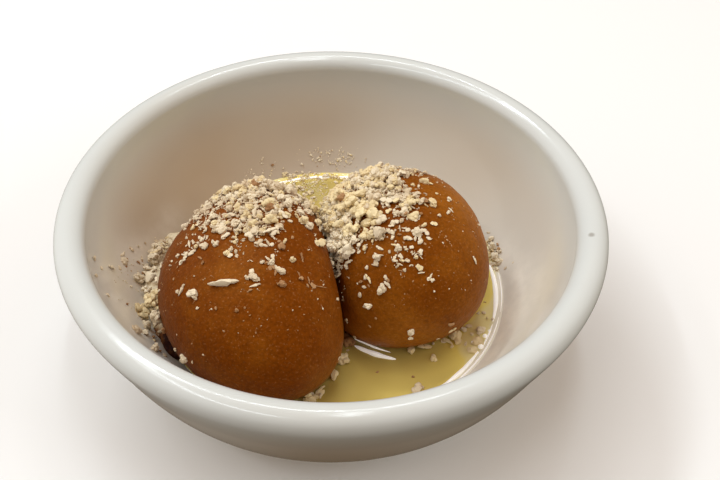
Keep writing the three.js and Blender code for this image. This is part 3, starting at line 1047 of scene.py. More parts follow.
# Bits on top of the beds, in the same way.
TOP_BITS = {
    "ivory": (
        (-1, -4, 36, 4.4, 0.9), (-0.6, -7.4, 34.5, 4.6, 0.9, 30), (0.4, -9.8, 35.5, 4.4, 0.9, 70),
        (2, -11.8, 36.5, 4.2, 0.9), (3.6, -13.4, 37.5, 3.8, 0.9, 20), (-41, -18.4, 22.5, 4.8, 0.9),
        (-45, -7.2, 20.5, 4.6, 0.9), (-46.2, -3.6, 21, 4.6, 0.9, 40), (-45.6, 0.2, 20.5, 4.4, 0.9, 90),
        (-44.6, 3.6, 19.8, 4, 0.9), (8.9, -0.5, 44.2, 3, 0.85), (0.2, -0.4, 38, 1.6, 0.9),
        (1.9, -3.7, 39.6, 1.6, 0.8), (5.5, -11.8, 40.1, 2, 0.85), (4.4, -12.1, 38.9, 1.8, 0.7, 40),
        (5.3, -13.4, 39.1, 2.2, 0.7, 10), (3.8, -13.1, 37.8, 1.8, 0.7, 70), (6, -13, 39.9, 2, 0.6),
        (4.8, -14.3, 37.9, 1.6, 0.7, 120), (6.5, -14.1, 39.6, 1.6, 0.7), (2.4, -10, 38, 1.8, 0.8),
        (4.4, -7.8, 40.9, 1.8, 0.4, 60), (5.8, -8.2, 41.8, 1.6, 0.4, 110), (-17.8, 10.5, 38, 2.8, 0.8, 30),
        (-20.1, 5.8, 40.7, 2.4, 0.85), (-23.5, 10.4, 36.4, 2.4, 0.85), (-15.7, 2.8, 42.4, 3, 0.6, 60),
        (-16.6, -2.7, 44.2, 3, 0.7, 40), (-18.3, -1, 43.7, 2.2, 0.8), (-19.3, -7, 44.7, 2.5, 0.85),
        (-17.1, -8, 45.1, 3, 0.36, 85), (-17.7, -11.7, 45.5, 3.2, 0.55, 35), (-23, -4.8, 43.5, 2.2, 0.85),
        (-23.5, -14.1, 44.2, 2.5, 0.6, 25), (-17.7, -15.7, 45.4, 3.2, 0.6, -10),
        (-13.6, -14.4, 45.5, 3.4, 0.45, 35), (-12, -12.3, 45.3, 2.3, 0.7, 110),
        (-9.8, -3.2, 43.4, 2.8, 0.85), (-10.6, -7.7, 44.6, 2.8, 0.5, -25), (-9.2, -9.3, 44.3, 2, 0.7, -50),
        (-7.6, 6.7, 37.3, 3.4, 0.38, -35), (-10.8, 5.4, 40.3, 2.8, 0.36, -55), (-12.5, 3.7, 41.5, 2.4, 0.8),
        (-7, -4.2, 42.5, 2.8, 0.5), (-25.6, -0.8, 41.5, 2.2, 0.6, 20), (-22.1, -7.4, 44.2, 2.2, 0.7),
        (-20.5, -11, 45, 2.2, 0.6, 30), (-15, -16.9, 45.3, 2.2, 0.5, 30),
        (-13.7, -17.1, 45.3, 2.2, 0.45, -60), (-5, 3.3, 36.9, 2, 0.7), (-5.9, 4.5, 37.2, 1.8, 0.6),
        (-28.7, 7.1, 35.3, 1.8, 0.8), (-20.6, -2.2, 43.7, 2, 0.7), (-23, 0.2, 42.2, 2, 0.7, 30),
        (-13.8, 0.6, 43.1, 2.2, 0.6, -20), (10.7, 5.9, 43.6, 2.8, 0.85), (12.9, 4.9, 44.4, 2.6, 0.85),
        (17.3, 5.4, 44.5, 2, 0.55, -10), (20, 1.2, 45, 1, 0.8), (19, -1.5, 45.5, 2.4, 0.7, -20),
        (17.7, -1.3, 45.6, 2, 0.8), (16.2, -6.6, 45.2, 2.3, 0.7), (14.6, -7.1, 45.1, 2, 0.85),
        (12.5, -4, 45.2, 2.8, 0.6, -30), (10.4, -2.6, 44.7, 2.8, 0.8, -20), (11.5, -8.7, 44.1, 2.7, 0.8),
        (14, -9.5, 44.4, 2.6, 0.6, -55), (18.9, -9.4, 44.8, 2.2, 0.7, 20), (24.1, -7.6, 44.3, 1.2, 0.8),
        (17.3, -12, 44, 2, 0.5, -10), (20.9, -12.4, 43.8, 2.4, 0.6, -60), (21.3, -13.7, 43.3, 2, 0.7, -30),
        (17.7, -13.9, 43.4, 2.1, 0.7), (13.5, -13.3, 43.1, 1.5, 0.8), (10.9, -12.4, 42.8, 2.8, 0.75),
        (13.9, 1.8, 45.2, 2, 0.8), (8.8, 4.7, 43.4, 2.4, 0.8), (6.8, 5.1, 42.4, 2, 0.8),
        (9.7, 2.8, 44.1, 2.2, 0.6, 40), (17.9, -26.2, 26, 1.9, 0.85), (24.2, -19.8, 14.3, 1.2, 0.85),
        (26.5, -19.1, 14.3, 2, 0.6, -20), (31.8, -15.4, 14.3, 1.7, 0.85),
        (33.2, -14.2, 14.3, 2.2, 0.5, -40), (36, -9.8, 14.3, 1.1, 0.85), (37.4, -10, 14.3, 1.3, 0.85),
        (39.4, -12.1, 14.3, 1.5, 0.8), (33.9, -16.4, 14.3, 1.4, 0.85), (36, -15.8, 14.3, 2.3, 0.85),
        (35.3, -17.9, 14.3, 1.6, 0.85), (32, -19.8, 14.3, 1.3, 0.8), (19.8, -32.8, 14.3, 2.3, 0.8),
        (5.6, -20.6, 18.4, 1.3, 0.85), (4, -21.6, 14.3, 1.1, 0.85), (-4.4, -34.7, 14.3, 1.3, 0.85),
        (-2.5, -34.9, 14.3, 1.6, 0.75, 80), (-52.2, -7.5, 27.9, 3.4, 0.42, 35),
        (-48.3, -7.9, 21.7, 1, 0.85), (-39.6, -9.6, 30.3, 3.2, 0.6, 60), (-44.3, -3.3, 19.7, 3.1, 0.85),
        (-39.2, -20.6, 25, 5.4, 0.9, 90), (-43, -18.5, 19, 2.4, 0.8), (-43.1, -21.7, 20.8, 2, 0.75),
        (-40.4, -26.5, 20.9, 2.9, 0.85, 90), (-37.8, -26.6, 18.3, 2.3, 0.65, 30),
        (-34.2, -30.5, 25.6, 1.4, 0.85), (-32, -33.3, 25.9, 2.6, 0.85), (-29.6, -26.3, 38.6, 2.2, 0.85),
        (-33.4, -23.5, 36.8, 1.5, 0.85), (41.6, 14.2, 15.9, 1.6, 0.7), (41.6, 5, 14.7, 1.4, 0.7),
        (42.1, 11.5, 15.6, 2.8, 0.9, 80), (42.4, 8.6, 15.4, 2.6, 0.9, 60), (43.4, 6.4, 16, 2, 0.9),
        (42.4, 14.2, 16.2, 2.2, 0.9),
    ),
    "yellow": (
        (5, -3, 41.5, 4.4, 0.9), (7.4, -6, 42.8, 4.6, 0.9, 40), (2.6, 1.5, 40, 4.2, 0.9, 80),
        (0.5, -5.5, 37, 4.4, 0.9), (-43.4, -10.6, 20.5, 4.8, 0.9), (-41.8, -13.6, 21.5, 5, 0.9, 60),
        (0.8, 5.6, 37.7, 1.6, 0.9), (0.4, 2.4, 38.2, 2.1, 0.9), (4, -0.4, 41.7, 2.2, 0.9),
        (5.6, -0.9, 42.7, 2.6, 0.9), (7, -0.6, 43.4, 3, 0.85), (5, -3.5, 42.3, 2.8, 0.9),
        (6.7, -5.3, 43.1, 3, 0.9), (8, -4.4, 43.8, 2.6, 0.9), (9.5, -5.2, 44.3, 3, 0.85),
        (7, -7.3, 42.8, 3.4, 0.9), (8.1, -8.5, 43, 3, 0.9), (9.6, -7.7, 43.8, 3.3, 0.9),
        (5.5, -5.5, 42.3, 2.6, 0.9), (3.6, -3.4, 41.3, 2.6, 0.9), (2, -2.2, 39.9, 2, 0.9),
        (-3.3, -5.1, 39.7, 2.1, 0.9), (2.1, -6.7, 39.1, 3, 0.85), (3.9, -8.9, 40, 3, 0.85, 10),
        (5.4, -9.3, 41.1, 2.8, 0.85), (3.6, -10, 39.3, 1.9, 0.8, 80), (9.1, -11.7, 42.4, 2.3, 0.85),
        (7.5, -11.6, 41.5, 2.3, 0.85), (-2.5, -12.6, 40.7, 2.4, 0.85), (-16.9, 10.7, 37.8, 2.4, 0.9),
        (-21.6, 4.6, 40.9, 2.6, 0.9), (-20.5, 1.2, 42.6, 2.5, 0.9), (-24.8, 5.3, 39.1, 2.1, 0.85),
        (-20.5, -5.3, 44.3, 3.2, 0.9), (-13.9, -3.7, 44.3, 2.5, 0.85, 20), (-15, -4.6, 44.6, 2, 0.85),
        (-13.4, -10.2, 45.2, 3.3, 0.8, 90), (-6.5, -7.7, 42.9, 2.5, 0.8, 10), (-26.1, -10.1, 43.1, 2, 0.8),
        (-26.7, 8.2, 36.1, 2, 0.85), (12, 7.7, 43.3, 2.6, 0.85), (14.8, 1.9, 45.3, 2.4, 0.8, 100),
        (18.8, 1.7, 45.2, 1.2, 0.85), (21.6, 3.5, 44.3, 2.3, 0.75), (22.7, 3.1, 44.2, 1.6, 0.7, -30),
        (24.1, -0.3, 44.3, 1.9, 0.7), (15.1, -4.3, 45.5, 2.8, 0.7, 15), (16.9, -5, 45.4, 2.8, 0.7, 15),
        (18.2, -5.4, 45.4, 2, 0.8), (22.8, -10.1, 44.1, 2.1, 0.65, -10), (9.6, -9.2, 43.4, 2, 0.8),
        (18.9, -21.7, 14.3, 2.1, 0.9), (22, -21.3, 14.3, 3, 0.65), (24.1, -24.1, 14.3, 1.7, 0.8, 80),
        (27.4, -19, 14.3, 3, 0.42, -30), (28.5, -20.6, 14.3, 1.3, 0.85), (29.6, -17.6, 14.3, 3.1, 0.85, 90),
        (38, -11.7, 14.3, 1.2, 0.85), (34.9, -19.6, 14.3, 2.5, 0.75, 20),
        (33.2, -21.8, 14.3, 2.6, 0.85, -20), (2.9, -24.5, 14.3, 2.7, 0.85, 90),
        (0.8, -29.3, 14.3, 2.5, 0.85), (-2.1, -33.6, 14.3, 3.4, 0.6, 45),
        (-2.1, -33.3, 14.3, 2.6, 0.35, 40), (-4.5, -35.6, 14.3, 3, 0.75), (-44, 4.6, 20, 2.8, 0.45, 20),
        (-40.6, -16.5, 26, 6.4, 0.9), (-44.6, -14.6, 20.6, 5.2, 0.9),
    ),
    "skin": (
        (2.7, 0, 40.7, 2.4, 0.9), (-17.8, 5.1, 41.4, 2.6, 0.9), (-13.5, -6.3, 44.8, 2.3, 0.85),
        (15.9, 8.9, 43.1, 2, 0.8), (21.6, -4.2, 45.1, 2.4, 0.7), (16.5, -8.3, 45, 1.4, 0.8),
        (20.1, -7.7, 45.1, 1.5, 0.8), (19.5, -11.3, 44.3, 1.2, 0.8), (26.9, -24.3, 27, 1.8, 0.8),
        (4.2, -18.9, 14.3, 2.8, 0.85, 90), (10.7, -28, 14.3, 0.8, 0.8), (18.9, -29.5, 14.3, 0.8, 0.8),
        (-50.1, -0.4, 23.4, 1.2, 0.6, -60), (-50, -2.6, 23.3, 0.8, 0.8),
        (-47.7, -15.3, 23.4, 1.3, 0.75, -60), (-46.8, -1.1, 19, 1.6, 0.8), (-37.7, -24, 24.3, 1.7, 0.85),
        (-41.5, -21.5, 18.9, 1.5, 0.8), (-39.2, -26.1, 19.4, 1.2, 0.8), (-48.1, 1.4, 20.6, 1.2, 0.7),
        (-16.7, 42.8, 17.9, 1.1, 0.8), (43.1, 10.4, 16.4, 1.6, 0.8, 80), (43.3, 11.8, 16.8, 1, 0.8),
    ),
    "crumbs": (
        (-54.4, -11.5, 35, 1.7, 0.8), (-53.1, -11.4, 31.2, 2.2, 0.6), (-52.9, -17.3, 35.4, 1.4, 0.8),
        (-49.9, 3.7, 23.3, 2, 0.7, -60), (-51.1, -0.1, 25, 2.2, 0.45, 60),
        (-50.6, -1.8, 24.2, 2.1, 0.75, 30), (-50.8, -4.9, 24.9, 2, 0.7), (-45.3, 11.2, 18.8, 2, 0.7, 30),
        (-50.6, -19.2, 30.7, 1.2, 0.8), (-45.3, 6, 19.5, 2.2, 0.75), (-43.4, 5.8, 20.2, 2.2, 0.75),
        (-44.1, 3.8, 19.4, 2.2, 0.75), (-39, -17, 30.8, 1.7, 0.8), (-38.4, -19.4, 31.2, 1.1, 0.8),
        (-44.5, -23.5, 23.8, 2.8, 0.85), (-29.9, -35.3, 27.1, 0.9, 0.8), (-47.6, 3.3, 20.1, 1.6, 0.7),
        (-46.5, 1.9, 18.6, 1.6, 0.8), (-47.2, 8.4, 20.4, 1.2, 0.7), (-8.3, 44.3, 17, 1, 0.8),
        (-6, 46.2, 18.8, 1.2, 0.7), (-3.7, 45.8, 18, 1.4, 0.6, 20), (-0.6, 46.8, 19, 1.2, 0.7),
        (2.6, 45.5, 17.5, 1.6, 0.6), (-10, 42.5, 15.6, 1.2, 0.7), (-13.6, 42.8, 16.8, 0.9, 0.8),
        (-19.5, 43.1, 19.5, 0.8, 0.8), (43, 6.6, 15.4, 1.8, 0.7), (41.5, 16.5, 16.6, 1.4, 0.7),
        (43.7, 9.1, 16.6, 1.2, 0.8), (44.3, 3.5, 16.4, 1.2, 0.7), (45.9, 3.9, 18.1, 1, 0.7),
    ),
}


class Ground:
    """What the nuts fall on, and how deep they lie on it on a grid seen from above."""

    CELL = 0.25
    HALF = 60

    def __init__(self, names):
        self.tree = tree_of(*names)
        self.count = int(2 * self.HALF / self.CELL)
        self.pile = np.zeros((self.count, self.count))

    def hit(self, x, y):
        """Where a plumb line at x, y meets the ground, and the way that its surface faces."""
        spot, normal, _, _ = self.tree.ray_cast(Vector((x * MM, y * MM, 0.08)), Vector((0, 0, -1)))
        return (None, None) if spot is None else (spot / MM, normal)

    def nearest(self, place):
        """The spot on the ground nearest to a place, and the way that its surface faces."""
        spot, normal, _, _ = self.tree.find_nearest(Vector(place) * MM)
        return spot / MM, normal

    def window(self, x, y, reach):
        """The slices of the grid round x, y, and how far off each of their cells is."""
        i, j = int((x + self.HALF) / self.CELL), int((y + self.HALF) / self.CELL)
        k = max(1, round(reach / self.CELL))
        rows, cols = slice(j - k, j + k + 1), slice(i - k, i + k + 1)
        v, u = np.mgrid[-k : k + 1, -k : k + 1]
        far = np.hypot(u, v) / k
        return rows, cols, far

    def lay(self, x, y, reach, thick, most):
        """Lays a bit down, and gives the depth of nuts under it, or None where the pile is full."""
        rows, cols, far = self.window(x, y, reach)
        under = self.pile[rows, cols]
        inside = far <= 1
        depth = float(np.quantile(under[inside], 0.7)) * 0.85
        if depth > most:
            return None
        dome = depth + thick * np.sqrt(np.clip(1 - far**2, 0, 1))
        under[inside] = np.maximum(under[inside], dome[inside])
        return depth


# A chip's points stand out unevenly, and it is cut flat, by these shares of its length.
CHIP_UNEVENNESS = (0.72, 1.12)
CUT_PLACES = (0.2, 0.38)
CHIP_MERGE = 0.03


def chunk(random, detail, cuts):
    """A bmesh of one uneven chip, one unit long, rounded but for a few flat broken faces."""
    bm = bmesh.new()
    bmesh.ops.create_icosphere(bm, subdivisions=detail, radius=0.5)
    for vert in bm.verts:
        vert.co *= random.uniform(*CHIP_UNEVENNESS)
    for _ in range(cuts):
        way = Vector(random.normal(size=3)).normalized()
        cut = bmesh.ops.bisect_plane(
            bm,
            geom=bm.verts[:] + bm.edges[:] + bm.faces[:],
            plane_co=way * random.uniform(*CUT_PLACES),
            plane_no=way,
            clear_outer=True,
        )
        edges = [e for e in cut["geom_cut"] if isinstance(e, bmesh.types.BMEdge)]
        if edges:
            bmesh.ops.edgenet_fill(bm, edges=edges)
    bmesh.ops.remove_doubles(bm, verts=bm.verts, dist=CHIP_MERGE)
    return bm


# The forms of the bits: how many chips hold together, the detail of each and the cuts on it, and
# how far each way they are stretched.
FORMS = {
    "shred": (3, 1, 2, (1.05, 0.5, 0.4)),
    "flake": (2, 1, 3, (1.1, 0.8, 0.4)),
    "granule": (3, 1, 3, (1, 0.88, 0.75)),
    "lump": (6, 2, 2, (1, 0.9, 0.8)),
    "cluster": (26, 1, 2, (1, 0.9, 0.75)),
    "speck": (1, 1, 2, (1, 0.8, 0.7)),
}
LUMP_LENGTH = 1.7  # granules longer than this are lumps
CLUSTER_LENGTH = 3.6  # and lumps longer than this are clusters
# The kinds of bits: each colour and form has a piece of its own, where there are many of it.
KINDS = {
    ("ivory", "shred"): "ivory_shreds",
    ("ivory", "flake"): "ivory_flakes",
    ("ivory", "granule"): "ivory_granules",
    ("ivory", "lump"): "ivory_lumps",
    ("ivory", "cluster"): "ivory_lumps",
    ("yellow", "lump"): "yellow_lumps",
    ("yellow", "cluster"): "yellow_lumps",
    ("yellow", "granule"): "yellow_granules",
    ("yellow", "flake"): "yellow_granules",
    ("yellow", "shred"): "yellow_granules",
}


def nut_shapes(random, form, count):
    """Bits of one form, one unit long, as (points, triangles) pairs."""
    chips, detail, cuts, stretch = FORMS[form]
    shapes = []
    for _ in range(count):
        bm = bmesh.new()
        for k in range(chips):
            chip = chunk(random, detail, cuts)
            size = 1 if chips == 1 else random.uniform(0.6, 0.82)
            aside = random.uniform(-0.24, 0.24, 3) if chips > 1 else np.zeros(3)
            if form == "cluster":
                size *= 0.45
                aside = random.normal(size=3)
                aside *= 0.36 * random.random() ** 0.33 / np.linalg.norm(aside)
            if form == "shred":
                # A shred is widest near its middle and runs out to its ends.
                aside *= 0.4
                aside[0] = 0.3 * (k - (chips - 1) / 2)
                size *= 1 if k == 1 else 0.7
            elif form == "lump":
                aside *= 1.1
            bmesh.ops.scale(chip, vec=(size,) * 3, verts=chip.verts)
            bmesh.ops.translate(chip, vec=aside, verts=chip.verts)
            bmesh.ops.scale(chip, vec=stretch, verts=chip.verts)
            bmesh.ops.triangulate(chip, faces=chip.faces)
            bmesh.ops.recalc_face_normals(chip, faces=chip.faces)
            held = bpy.data.meshes.new("chip")
            chip.to_mesh(held)
            chip.free()
            bm.from_mesh(held)
            bpy.data.meshes.remove(held)
        bm.verts.index_update()
        points = np.array([v.co for v in bm.verts])
        faces = np.array([[v.index for v in f.verts] for f in bm.faces])
        shapes.append((points, faces))
        bm.free()
    return shapes


class Strewn:
    """Bits of one colour, gathered to be joined into one mesh."""

    def __init__(self):
        self.points, self.faces, self.tints, self.total = [], [], [], 0

    def put(self, shape, place, turn, size, tint):
        points, faces = shape
        self.points.append(points * size @ np.array(turn).T + np.array(place))
        self.faces.append(faces + self.total)
        self.tints.append(np.full(len(points), tint))
        self.total += len(points)

    def mesh(self, name):
        mesh = bpy.data.meshes.new(name)
        points = np.concatenate(self.points) * MM
        faces = np.concatenate(self.faces)
        mesh.from_pydata(points.tolist(), [], faces.tolist())
        paint(mesh, "tint", np.concatenate(self.tints))
        mesh.update()
        return mesh


MIN_UPRIGHT = 0.1  # bits slide off a surface steeper than this
BED_REACH = 1.35  # how far a bed thins out, in half-widths
FARTHEST = 54  # from the bowl's axis
FLOAT_HEIGHT = 14.5  # single bits given below this height float on the syrup
FLOAT_SWELL = 1.12  # and are this much larger, as they have soaked
SHAPES_A_FORM = 14
MOST_LENGTH = 2.6  # of a strewn bit
BITS_A_SQUARE = 2.6  # how many bits are tried on a square millimetre of a bed
CRUMB_LENGTHS = (0.25, 0.55)
# The shares of the forms among the ivory bits, and the spread of each colour's sizes, as shares of
# the bed's size, which for ivory are the middle and width of a lognormal spread.
IVORY_FORMS = {"shred": 0.2, "flake": 0.35, "granule": 0.45}
IVORY_SIZES = (-0.15, 0.38)
YELLOW_SIZES = (0.8, 1.7)
SKIN_SIZES = (0.4, 0.9)
BROKEN_EDGE = 42  # degrees past which an edge of a bit stays sharp
SINGLE_SIZE = {"shred": 0.92, "flake": 0.85, "granule": 0.92}


class DESSERT_OT_nuts(bpy.types.Operator):
    """Strew the chopped nuts over the sweets, the syrup and the bowl's wall"""

    bl_idname = "dessert.nuts"
    bl_label = "Chopped nuts"

    def execute(self, context):
        settings = context.scene.dessert_nuts
        self.random = random = np.random.default_rng(settings.seed)
        self.shapes = {form: nut_shapes(random, form, SHAPES_A_FORM) for form in FORMS}
        self.ground = Ground(
            ["sweet_left", "sweet_right", "syrup_pool", "nut_heap_core", "bowl_glazed"]
        )
        self.bits = {kind: Strewn() for kind in (*KINDS.values(), "skin", "crumbs")}
        for group in SPRINKLES:
            self.sprinkle(*group)
        self.lay_singles(SINGLE_BITS)
        for bed in BEDS:
            self.strew(bed, settings.amount)
        self.lay_singles(TOP_BITS)
        finishes = {
            "ivory": chopped_nut("chopped_nut_ivory", settings.ivory, 0.4),
            "yellow": chopped_nut("chopped_nut_yellow", settings.yellow, 0.3),
            "skin": chopped_nut("chopped_nut_skin", settings.skin, 0.5),
            "crumbs": chopped_nut("chopped_nut_crumbs", settings.ivory, 0.5),
        }
        for kind, strewn in self.bits.items():
            name = "nuts_" + kind
            finish = finishes[kind.split("_")[0]]
            piece = place_piece(name, strewn.mesh(name), finish)
            piece.data.set_sharp_from_angle(angle=math.radians(BROKEN_EDGE))
        return {"FINISHED"}

    def put(self, kind, form, place, turn, length):
        """Adds a bit; a large granule is a lump or a cluster of crumbs that hold together."""
        if form == "granule" and np.max(length) > LUMP_LENGTH:
            form = "cluster" if np.max(length) > CLUSTER_LENGTH else "lump"
        forms = self.shapes[form]
        shape = forms[self.random.integers(len(forms))]
        size = length * self.random.uniform(0.75, 1.25, 3)
        tint = 0.8 * self.random.random() ** 0.6
        # Painted light: bits in the shaded places are drawn lighter.
        tint += (1 - tint) * min(near(NUT_PAINTED_LIGHT_PLACES, place[0], place[1]), 1)
        self.bits[KINDS.get((kind, form), kind)].put(shape, place, turn, size, tint)

    def lay_singles(self, rows):
        for kind, bits in rows.items():
            for bit in bits:
                self.lay_single(kind, *bit)

    def lay_single(self, kind, x, y, z, length, slenderness, turn=0):
        """Lays a bit on the ground nearest to x, y, z, or afloat on the syrup."""
        spot, normal = self.ground.nearest((x, y, z))
        form = "shred" if slenderness < 0.5 else "flake" if slenderness < 0.72 else "granule"
        length *= SINGLE_SIZE[form]
        spin = Matrix.Rotation(math.radians(turn + self.random.normal() * 4), 3, "Z")
        lean = Vector((0, 0, 1)).rotation_difference(normal).to_matrix()
        tall = length * FORMS[form][3][2]
        depth = self.ground.lay(spot.x, spot.y, length * 0.4, tall * 0.6, 9)
        floats = z < FLOAT_HEIGHT
        if floats:
            length *= FLOAT_SWELL
        place = spot + normal * tall * (0.35 if floats else 0.2) + Vector((0, 0, depth))
        thin = min(1, slenderness / 0.36) if form == "shred" else 1
        self.put(kind, form, place, lean @ spin, length * np.array((1, thin, thin)))

    def sprinkle(self, kind, count, x0, y0, along, across, shortest, longest):
        """Drops loose bits of one kind at random over an ellipse."""
        random = self.random
        for _ in range(count):
            far, heading = math.sqrt(random.random()), random.uniform(0, 2 * math.pi)
            x, y = x0 + far * along * math.cos(heading), y0 + far * across * math.sin(heading)
            spot, _ = self.ground.hit(x, y)
            length = random.uniform(shortest, longest)
            self.lay_single(kind, *spot, length, random.uniform(0.3, 0.95), random.uniform(0, 180))

    def pick(self, crumb, size, yellow, skin):
        """The kind, form and length of the next bit of a bed, or of its next crumb."""
        random = self.random
        pick = random.random()
        if crumb:
            return ("skin" if pick < skin else "crumbs"), "speck", random.uniform(*CRUMB_LENGTHS)
        if pick < yellow:
            return "yellow", "granule", size * random.uniform(*YELLOW_SIZES)
        if pick < yellow + skin:
            return "skin", "flake", size * random.uniform(*SKIN_SIZES)
        form = random.choice(list(IVORY_FORMS), p=list(IVORY_FORMS.values()))
        return "ivory", form, size * random.lognormal(*IVORY_SIZES)

    def cover(self, bed, x, y):
        """The share of the ground that a bed covers at x, y."""
        x0, y0, along, across, turn, share = bed[:6]
        a = math.radians(turn)
        u = ((x - x0) * math.cos(a) + (y - y0) * math.sin(a)) / along
        v = ((y - y0) * math.cos(a) - (x - x0) * math.sin(a)) / across
        share *= math.exp(-0.9 * (u * u + v * v) ** 2)
        for gap_x, gap_y, wide, deep, bare in GAPS:
            share *= 1 - bare * math.exp(-(((x - gap_x) / wide) ** 2 + ((y - gap_y) / deep) ** 2))
        return share

    def strew(self, bed, amount):
        """Strews one bed: its bits, then fine crumbs between them."""
        x0, y0, along, across, turn, share, size, deep, yellow, skin = bed
        random = self.random
        a = math.radians(turn)
        area = math.pi * along * across * BED_REACH**2
        count = int(area * BITS_A_SQUARE * amount * (1 + deep))
        for k in range(int(2 * count)):
            crumb = k >= count
            far = BED_REACH * math.sqrt(random.random())
            heading = random.uniform(0, 2 * math.pi)
            u, v = far * along * math.cos(heading), far * across * math.sin(heading)
            x = x0 + u * math.cos(a) - v * math.sin(a)
            y = y0 + u * math.sin(a) + v * math.cos(a)
            # Bits gather in clumps 1 to 3 mm across and leave bare places between them.
            clump = 0.45 * noise.noise(Vector((x * 0.35, y * 0.35, 3.7)))
            clump += noise.noise(Vector((x * 0.9, y * 0.9, 9.1)))
            clump = 0.5 + 0.5 * math.tanh(2.6 * clump) + 0.12 * random.normal()
            if self.cover(bed, x, y) < clump:
                continue
            spot, normal = self.ground.hit(x, y)
            if spot is None or normal.z < MIN_UPRIGHT or math.hypot(x, y) > FARTHEST:
                continue
            kind, form, length = self.pick(crumb, size, yellow, skin)
            length = min(length, MOST_LENGTH)
            tall = length * 0.45
            depth = self.ground.lay(x, y, length * 0.4, tall * 0.8, deep)
            if depth is None:
                continue
            loose = min(1, depth / 0.5)
            tilt = random.normal(size=2) * (0.25 + 0.5 * loose)
            up = Vector((0, 0, 1)).rotation_difference(normal.lerp(Vector((0, 0, 1)), loose * 0.7))
            spin = Euler((tilt[0], tilt[1], 0)).to_matrix() @ Matrix.Rotation(
                random.uniform(0, 2 * math.pi), 3, "Z"
            )
            place = spot + normal * tall * 0.2 + Vector((0, 0, depth))
            self.put(kind, form, place, up.to_matrix() @ spin, length)


# The heap's core: its ends round the bowl in degrees, and its lumps in millimetres.
HEAP_START, HEAP_END = 164, 210
HEAP_LUMPS = 8
HEAP_RADIUS = 2.8
HEAP_STRETCH = 1.7
HEAP_RELIEF = 0.5
HEAP_REACH = 0.2  # how far the core reaches into the glaze, so no gap shows
# The meal's mean dryness, and the y below which, and how fast, it darkens as painted shade in the hollow
# between the left sweet and the wall.
HEAP_DRY = 0.9
HEAP_SHADE_START = -14.5
HEAP_SHADING = 0.13


class DESSERT_OT_heap(bpy.types.Operator):
    """Bank the core of the nut heap between the left sweet and the wall"""

    bl_idname = "dessert.heap"
    bl_label = "Nut heap"

    def execute(self, context):
        settings = context.scene.dessert_nuts
        random = np.random.default_rng(settings.seed + 1)
        level = context.scene.dessert_syrup.level / MM
        bm = bmesh.new()
        for i in range(HEAP_LUMPS):
            angle = HEAP_START + (HEAP_END - HEAP_START) * i / (HEAP_LUMPS - 1)
            height = level + HEAP_RADIUS * random.uniform(0.4, 1.2)
            reach = float(inside_radius(height)) - HEAP_RADIUS / 2
            lump = bmesh.ops.create_icosphere(bm, subdivisions=4, radius=HEAP_RADIUS)
            bmesh.ops.scale(bm, vec=(1, HEAP_STRETCH, 1), verts=lump["verts"])
            turn = Matrix.Rotation(math.radians(angle), 4, "Z")
            bmesh.ops.transform(
                bm,
                matrix=Matrix.Translation(bearing(angle) * reach + (0, 0, height)) @ turn,
                verts=lump["verts"],
            )
        for vert in bm.verts:
            vert.co += Vector(vert.co).normalized() * noise.noise(vert.co * 0.9) * HEAP_RELIEF
            reach = math.hypot(vert.co.x, vert.co.y)
            most = float(inside_radius(vert.co.z)) + HEAP_REACH
            if reach > most:
                vert.co.x *= most / reach
                vert.co.y *= most / reach
        mesh = mesh_from(bm, "nut_heap_core")
        # Painted shade: the meal darkens towards its front end, in the hollow by the left sweet.
        dryness_and_shade = [
            HEAP_DRY
            + 0.5 * noise.noise(Vector(p * 0.5))
            - HEAP_SHADING * max(0, HEAP_SHADE_START - p[1])
            for p in coordinates(mesh) / MM
        ]
        paint(mesh, "tint", np.clip(dryness_and_shade, 0, 1))
        finish = soaked_meal(settings)
        place_piece("nut_heap_core", mesh, finish, ["nut_heap"])
        return {"FINISHED"}


def area_light(name, place, target, size, power, colour):
    """A softbox of a width and height in metres at a place, turned to a target."""
    lamp = bpy.data.lights.new(name, "AREA")
    lamp.shape = "RECTANGLE"
    lamp.size, lamp.size_y = size
    lamp.energy = power
    lamp.color = colour
    holder = bpy.data.objects.new(name, lamp)
    holder.location = place
    aim = Vector(target) - Vector(place)
    holder.rotation_euler = aim.to_track_quat("-Z", "Y").to_euler()
    bpy.context.collection.objects.link(holder)
    return holder


# The strip lamps overhead: name, place, size and share of the power.
LAMPS = (
    ("lamp_back", (0, 0.36, 0.84), (0.4, 0.04), 0.2),
    ("lamp_back_left", (-0.35, 0.35, 0.8), (0.4, 0.04), 0.34),
    ("lamp_left", (-0.45, 0, 0.8), (0.4, 0.04), 0.1),
    ("lamp_left_low", (-0.52, 0.05, 0.7), (0.4, 0.04), 0.06),
    ("lamp_front_left", (-0.35, -0.35, 0.8), (0.4, 0.04), 0.12),
    ("lamp_over", (0.05, 0, 0.9), (0.4, 0.04), 0.12),
    ("lamp_right", (0.5, -0.2, 0.45), (0.3, 0.3), 0.12),
)
LAMP_COLOUR = (0.9, 1.0, 1.05)
LAMP_TARGET = (0, 0, 0.02)
CAMERA_PLACE = (0, -0.1657, 0.1892)
CAMERA_SHIFT = 29 / 720  # share of the image's width that the bowl's axis lies left of its middle
SENSOR_WIDTH = 36
FLOOR_REACH = 4  # metres
# The room's glow on each side: the way that it lies, and its colour.
ROOM_SIDES = (
    ((-1, 0, 0), (1.48, 1.41, 1.30)),
    ((0.95, 0, 0.31), (0.84, 0.76, 0.64)),
    ((0, 0, 1), (0.38, 0.17, 0.05)),
    ((0, 0, -1), (0.17, 0.13, 0.09)),
)


